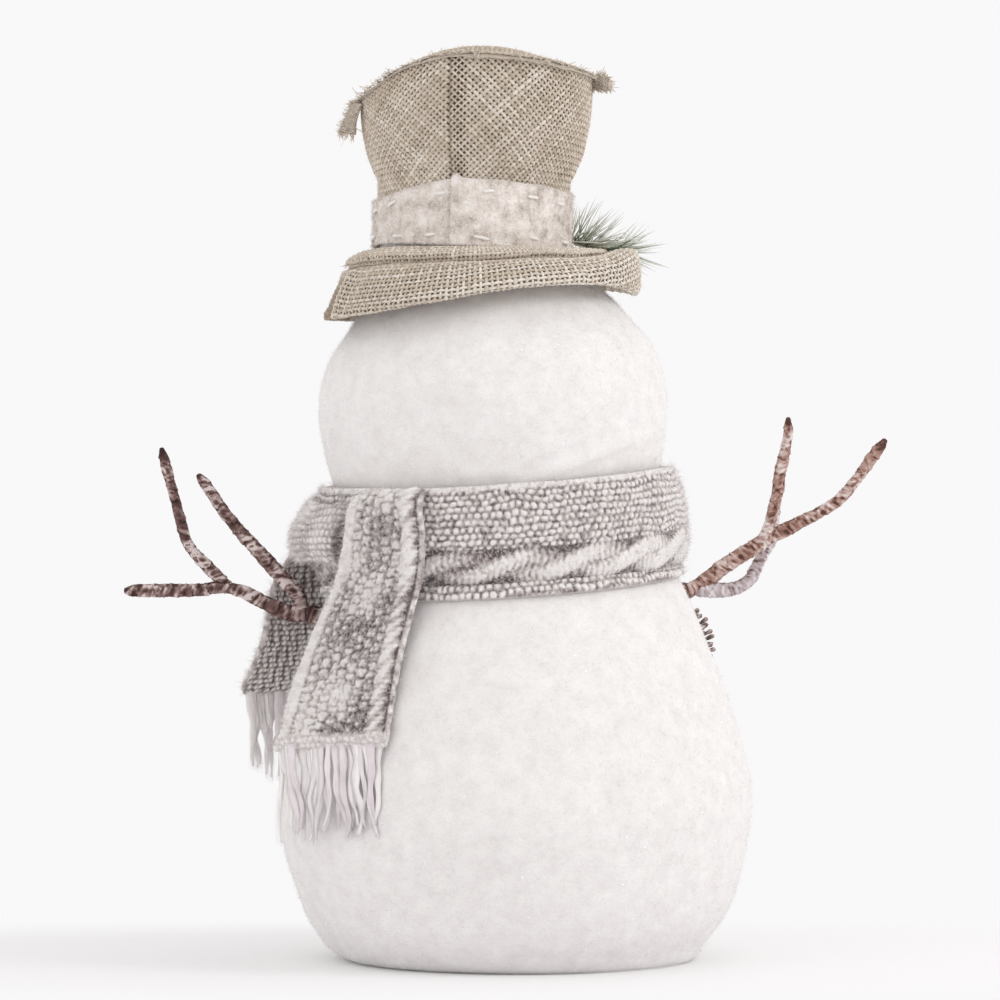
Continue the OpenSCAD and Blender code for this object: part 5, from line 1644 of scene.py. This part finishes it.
def addButtons():
    look = coatButtons
    half, thick, hole = look["wide"] / 2, look["thick"], look["hole"]
    offset = look["holeSide"] * look["wide"]
    padZ = thick - look["pad"]
    line = smoothLine([[half - 2, 0.3], [half - 0.5, 0.9], [half, 1.9], [half, thick - 0.9],
                       [half - 0.4, thick - 0.2], [half - 1.2, thick + 0.05], [half - 2.1, thick - 0.1],
                       [half - 3.2, thick - 0.9], [half - 4, thick - 1.2], [half - 6, padZ]], 5)
    outer = turnedShape(line, look["columns"])
    # the pad inside the rim, with the two sewing holes left open in its grid
    n = look["padMarks"]
    at = np.linspace(-1, 1, n)
    gx, gy = np.meshgrid(at, at, indexing="ij")
    disc = np.stack([gx * np.sqrt(1 - gy ** 2 / 2), gy * np.sqrt(1 - gx ** 2 / 2)], -1) * (half - 6 + 0.05)
    index = np.arange(n * n).reshape(n, n)
    middle = (disc[:-1, :-1] + disc[1:, 1:]) / 2
    near = np.minimum(np.hypot(middle[..., 0], middle[..., 1] - offset),
                      np.hypot(middle[..., 0], middle[..., 1] + offset))
    quads = np.stack([index[:-1, :-1], index[1:, :-1], index[1:, 1:], index[:-1, 1:]], -1)[near > hole]
    top, low = (np.concatenate([disc, np.full((n, n, 1), z)], -1).reshape(-1, 3) for z in (padZ, 0.3))
    wall = turnedShape(np.array([[hole + 0.25, thick - 1.22], [hole + 0.12, thick - 1.3], [hole, thick - 2],
                                 [hole + 0.2, 0.3]]), look["columns"] // 4)
    walls = [skin(wall + [0, place, 0]) for place in (-offset, offset)]
    shape = joined(skin(outer), (top, [quads]), (low, [quads[:, ::-1]]), *walls)
    # three threads down through the holes
    samples = look["threadSamples"]
    t = np.linspace(-1, 1, samples)
    reach = offset * np.sign(t) * np.minimum(1, np.abs(t) * 1.15)
    rise = padZ + 1.1 - 2.6 * np.abs(t) ** 7
    paths = np.stack([np.stack([w + 0.15 * np.sin(5 * t + k), reach, rise + 0.12 * k], -1)
                      for k, w in enumerate(look["threads"])])
    wide = np.full(paths.shape[:2], look["threadWide"])
    sewn = strands(paths, np.array([0, 0, 1.0]), wide, look["threadThick"], 8)
    for part, z in look["heights"].items():
        place = facing(bodyLine, z, -90)
        button = makePiece(part + "Button", shape, hornButton, place)
        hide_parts(part + "_coat_button")
        makePiece(part + "ButtonThread", sewn, stitchYarn, place)


# dyed wool needled to a cone: matt orange, darker where the fibres part
noseFelt = mottled("wool felt, dyed orange", cloth, {
    "mottle": 5, "fibre": 0.7, "colours": [(0.3, "#c8641c"), (0.5, "#dd7c2e"), (0.7, "#ec9a52")],
    "bump": 0.8, "depth": 0.4})
noseFuzz = mottled("wool fibres, dyed orange", cloth, {
    "mottle": 4, "fibre": 1, "colours": [(0.3, "#e08a44"), (0.7, "#f2b27a")], "bump": 0.0})
# cast acrylic, tumbled: one clear highlight with faint scuffs in it
eyeGloss = mottled("acrylic, cast black", plain, {
    "fibre": 1.4, "colours": [(0.3, "#0b0a0a"), (0.7, "#191716")], "bump": 0.02, "roughness": 0.12})
hornButton = mottled("urea resin, moulded horn brown", plain, {
    "fibre": 3.2, "colours": [(0.3, "#2f231d"), (0.5, "#4d3b31"), (0.7, "#6f594a")], "bump": 0.05,
    "roughness": 0.34})
inner = {
    "base_felt": ("base_felt", mottled("polyester felt, pressed white", plain, {
        "fibre": 1.1, "colours": [(0.3, "#e3e0df"), (0.7, "#f3f2f1")], "bump": 0.7, "roughness": 0.95})),
    "base_board": ("board", mottled("greyboard, sawn", plain, {
        "fibre": 0.9, "colours": [(0.3, "#9b8c78"), (0.7, "#c2b39c")], "bump": 0.4, "roughness": 0.85})),
    "weight_bag": ("weight_bag", mottled("cotton calico, filled with plastic pellets", plain, {
        "fibre": 2.6, "colours": [(0.3, "#b9a687"), (0.7, "#dccdb2")], "bump": 1.0, "roughness": 0.9})),
    "neck_tie": ("tie", mottled("nylon cable tie, moulded", plain, {
        "fibre": 1.5, "colours": [(0.3, "#3c3c3e"), (0.7, "#505054")], "bump": 0.1, "roughness": 0.45})),
}
stuffing = mottled("polyester fibrefill, carded", plain, {
    "fibre": 4.0, "colours": [(0.3, "#e8e8e8"), (0.7, "#fbfbfb")], "bump": 1.0, "roughness": 1.0})
for node in ("body_filling", "head_filling", "hat_filling"):
    inner[node] = ("stuffing", stuffing)
for node, (slotName, material) in inner.items():
    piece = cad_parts[node]
    piece.data.materials.clear()
    piece.data.materials.append(material)
addNose()
addEyes()
addButtons()
print("face, buttons and base dressed")
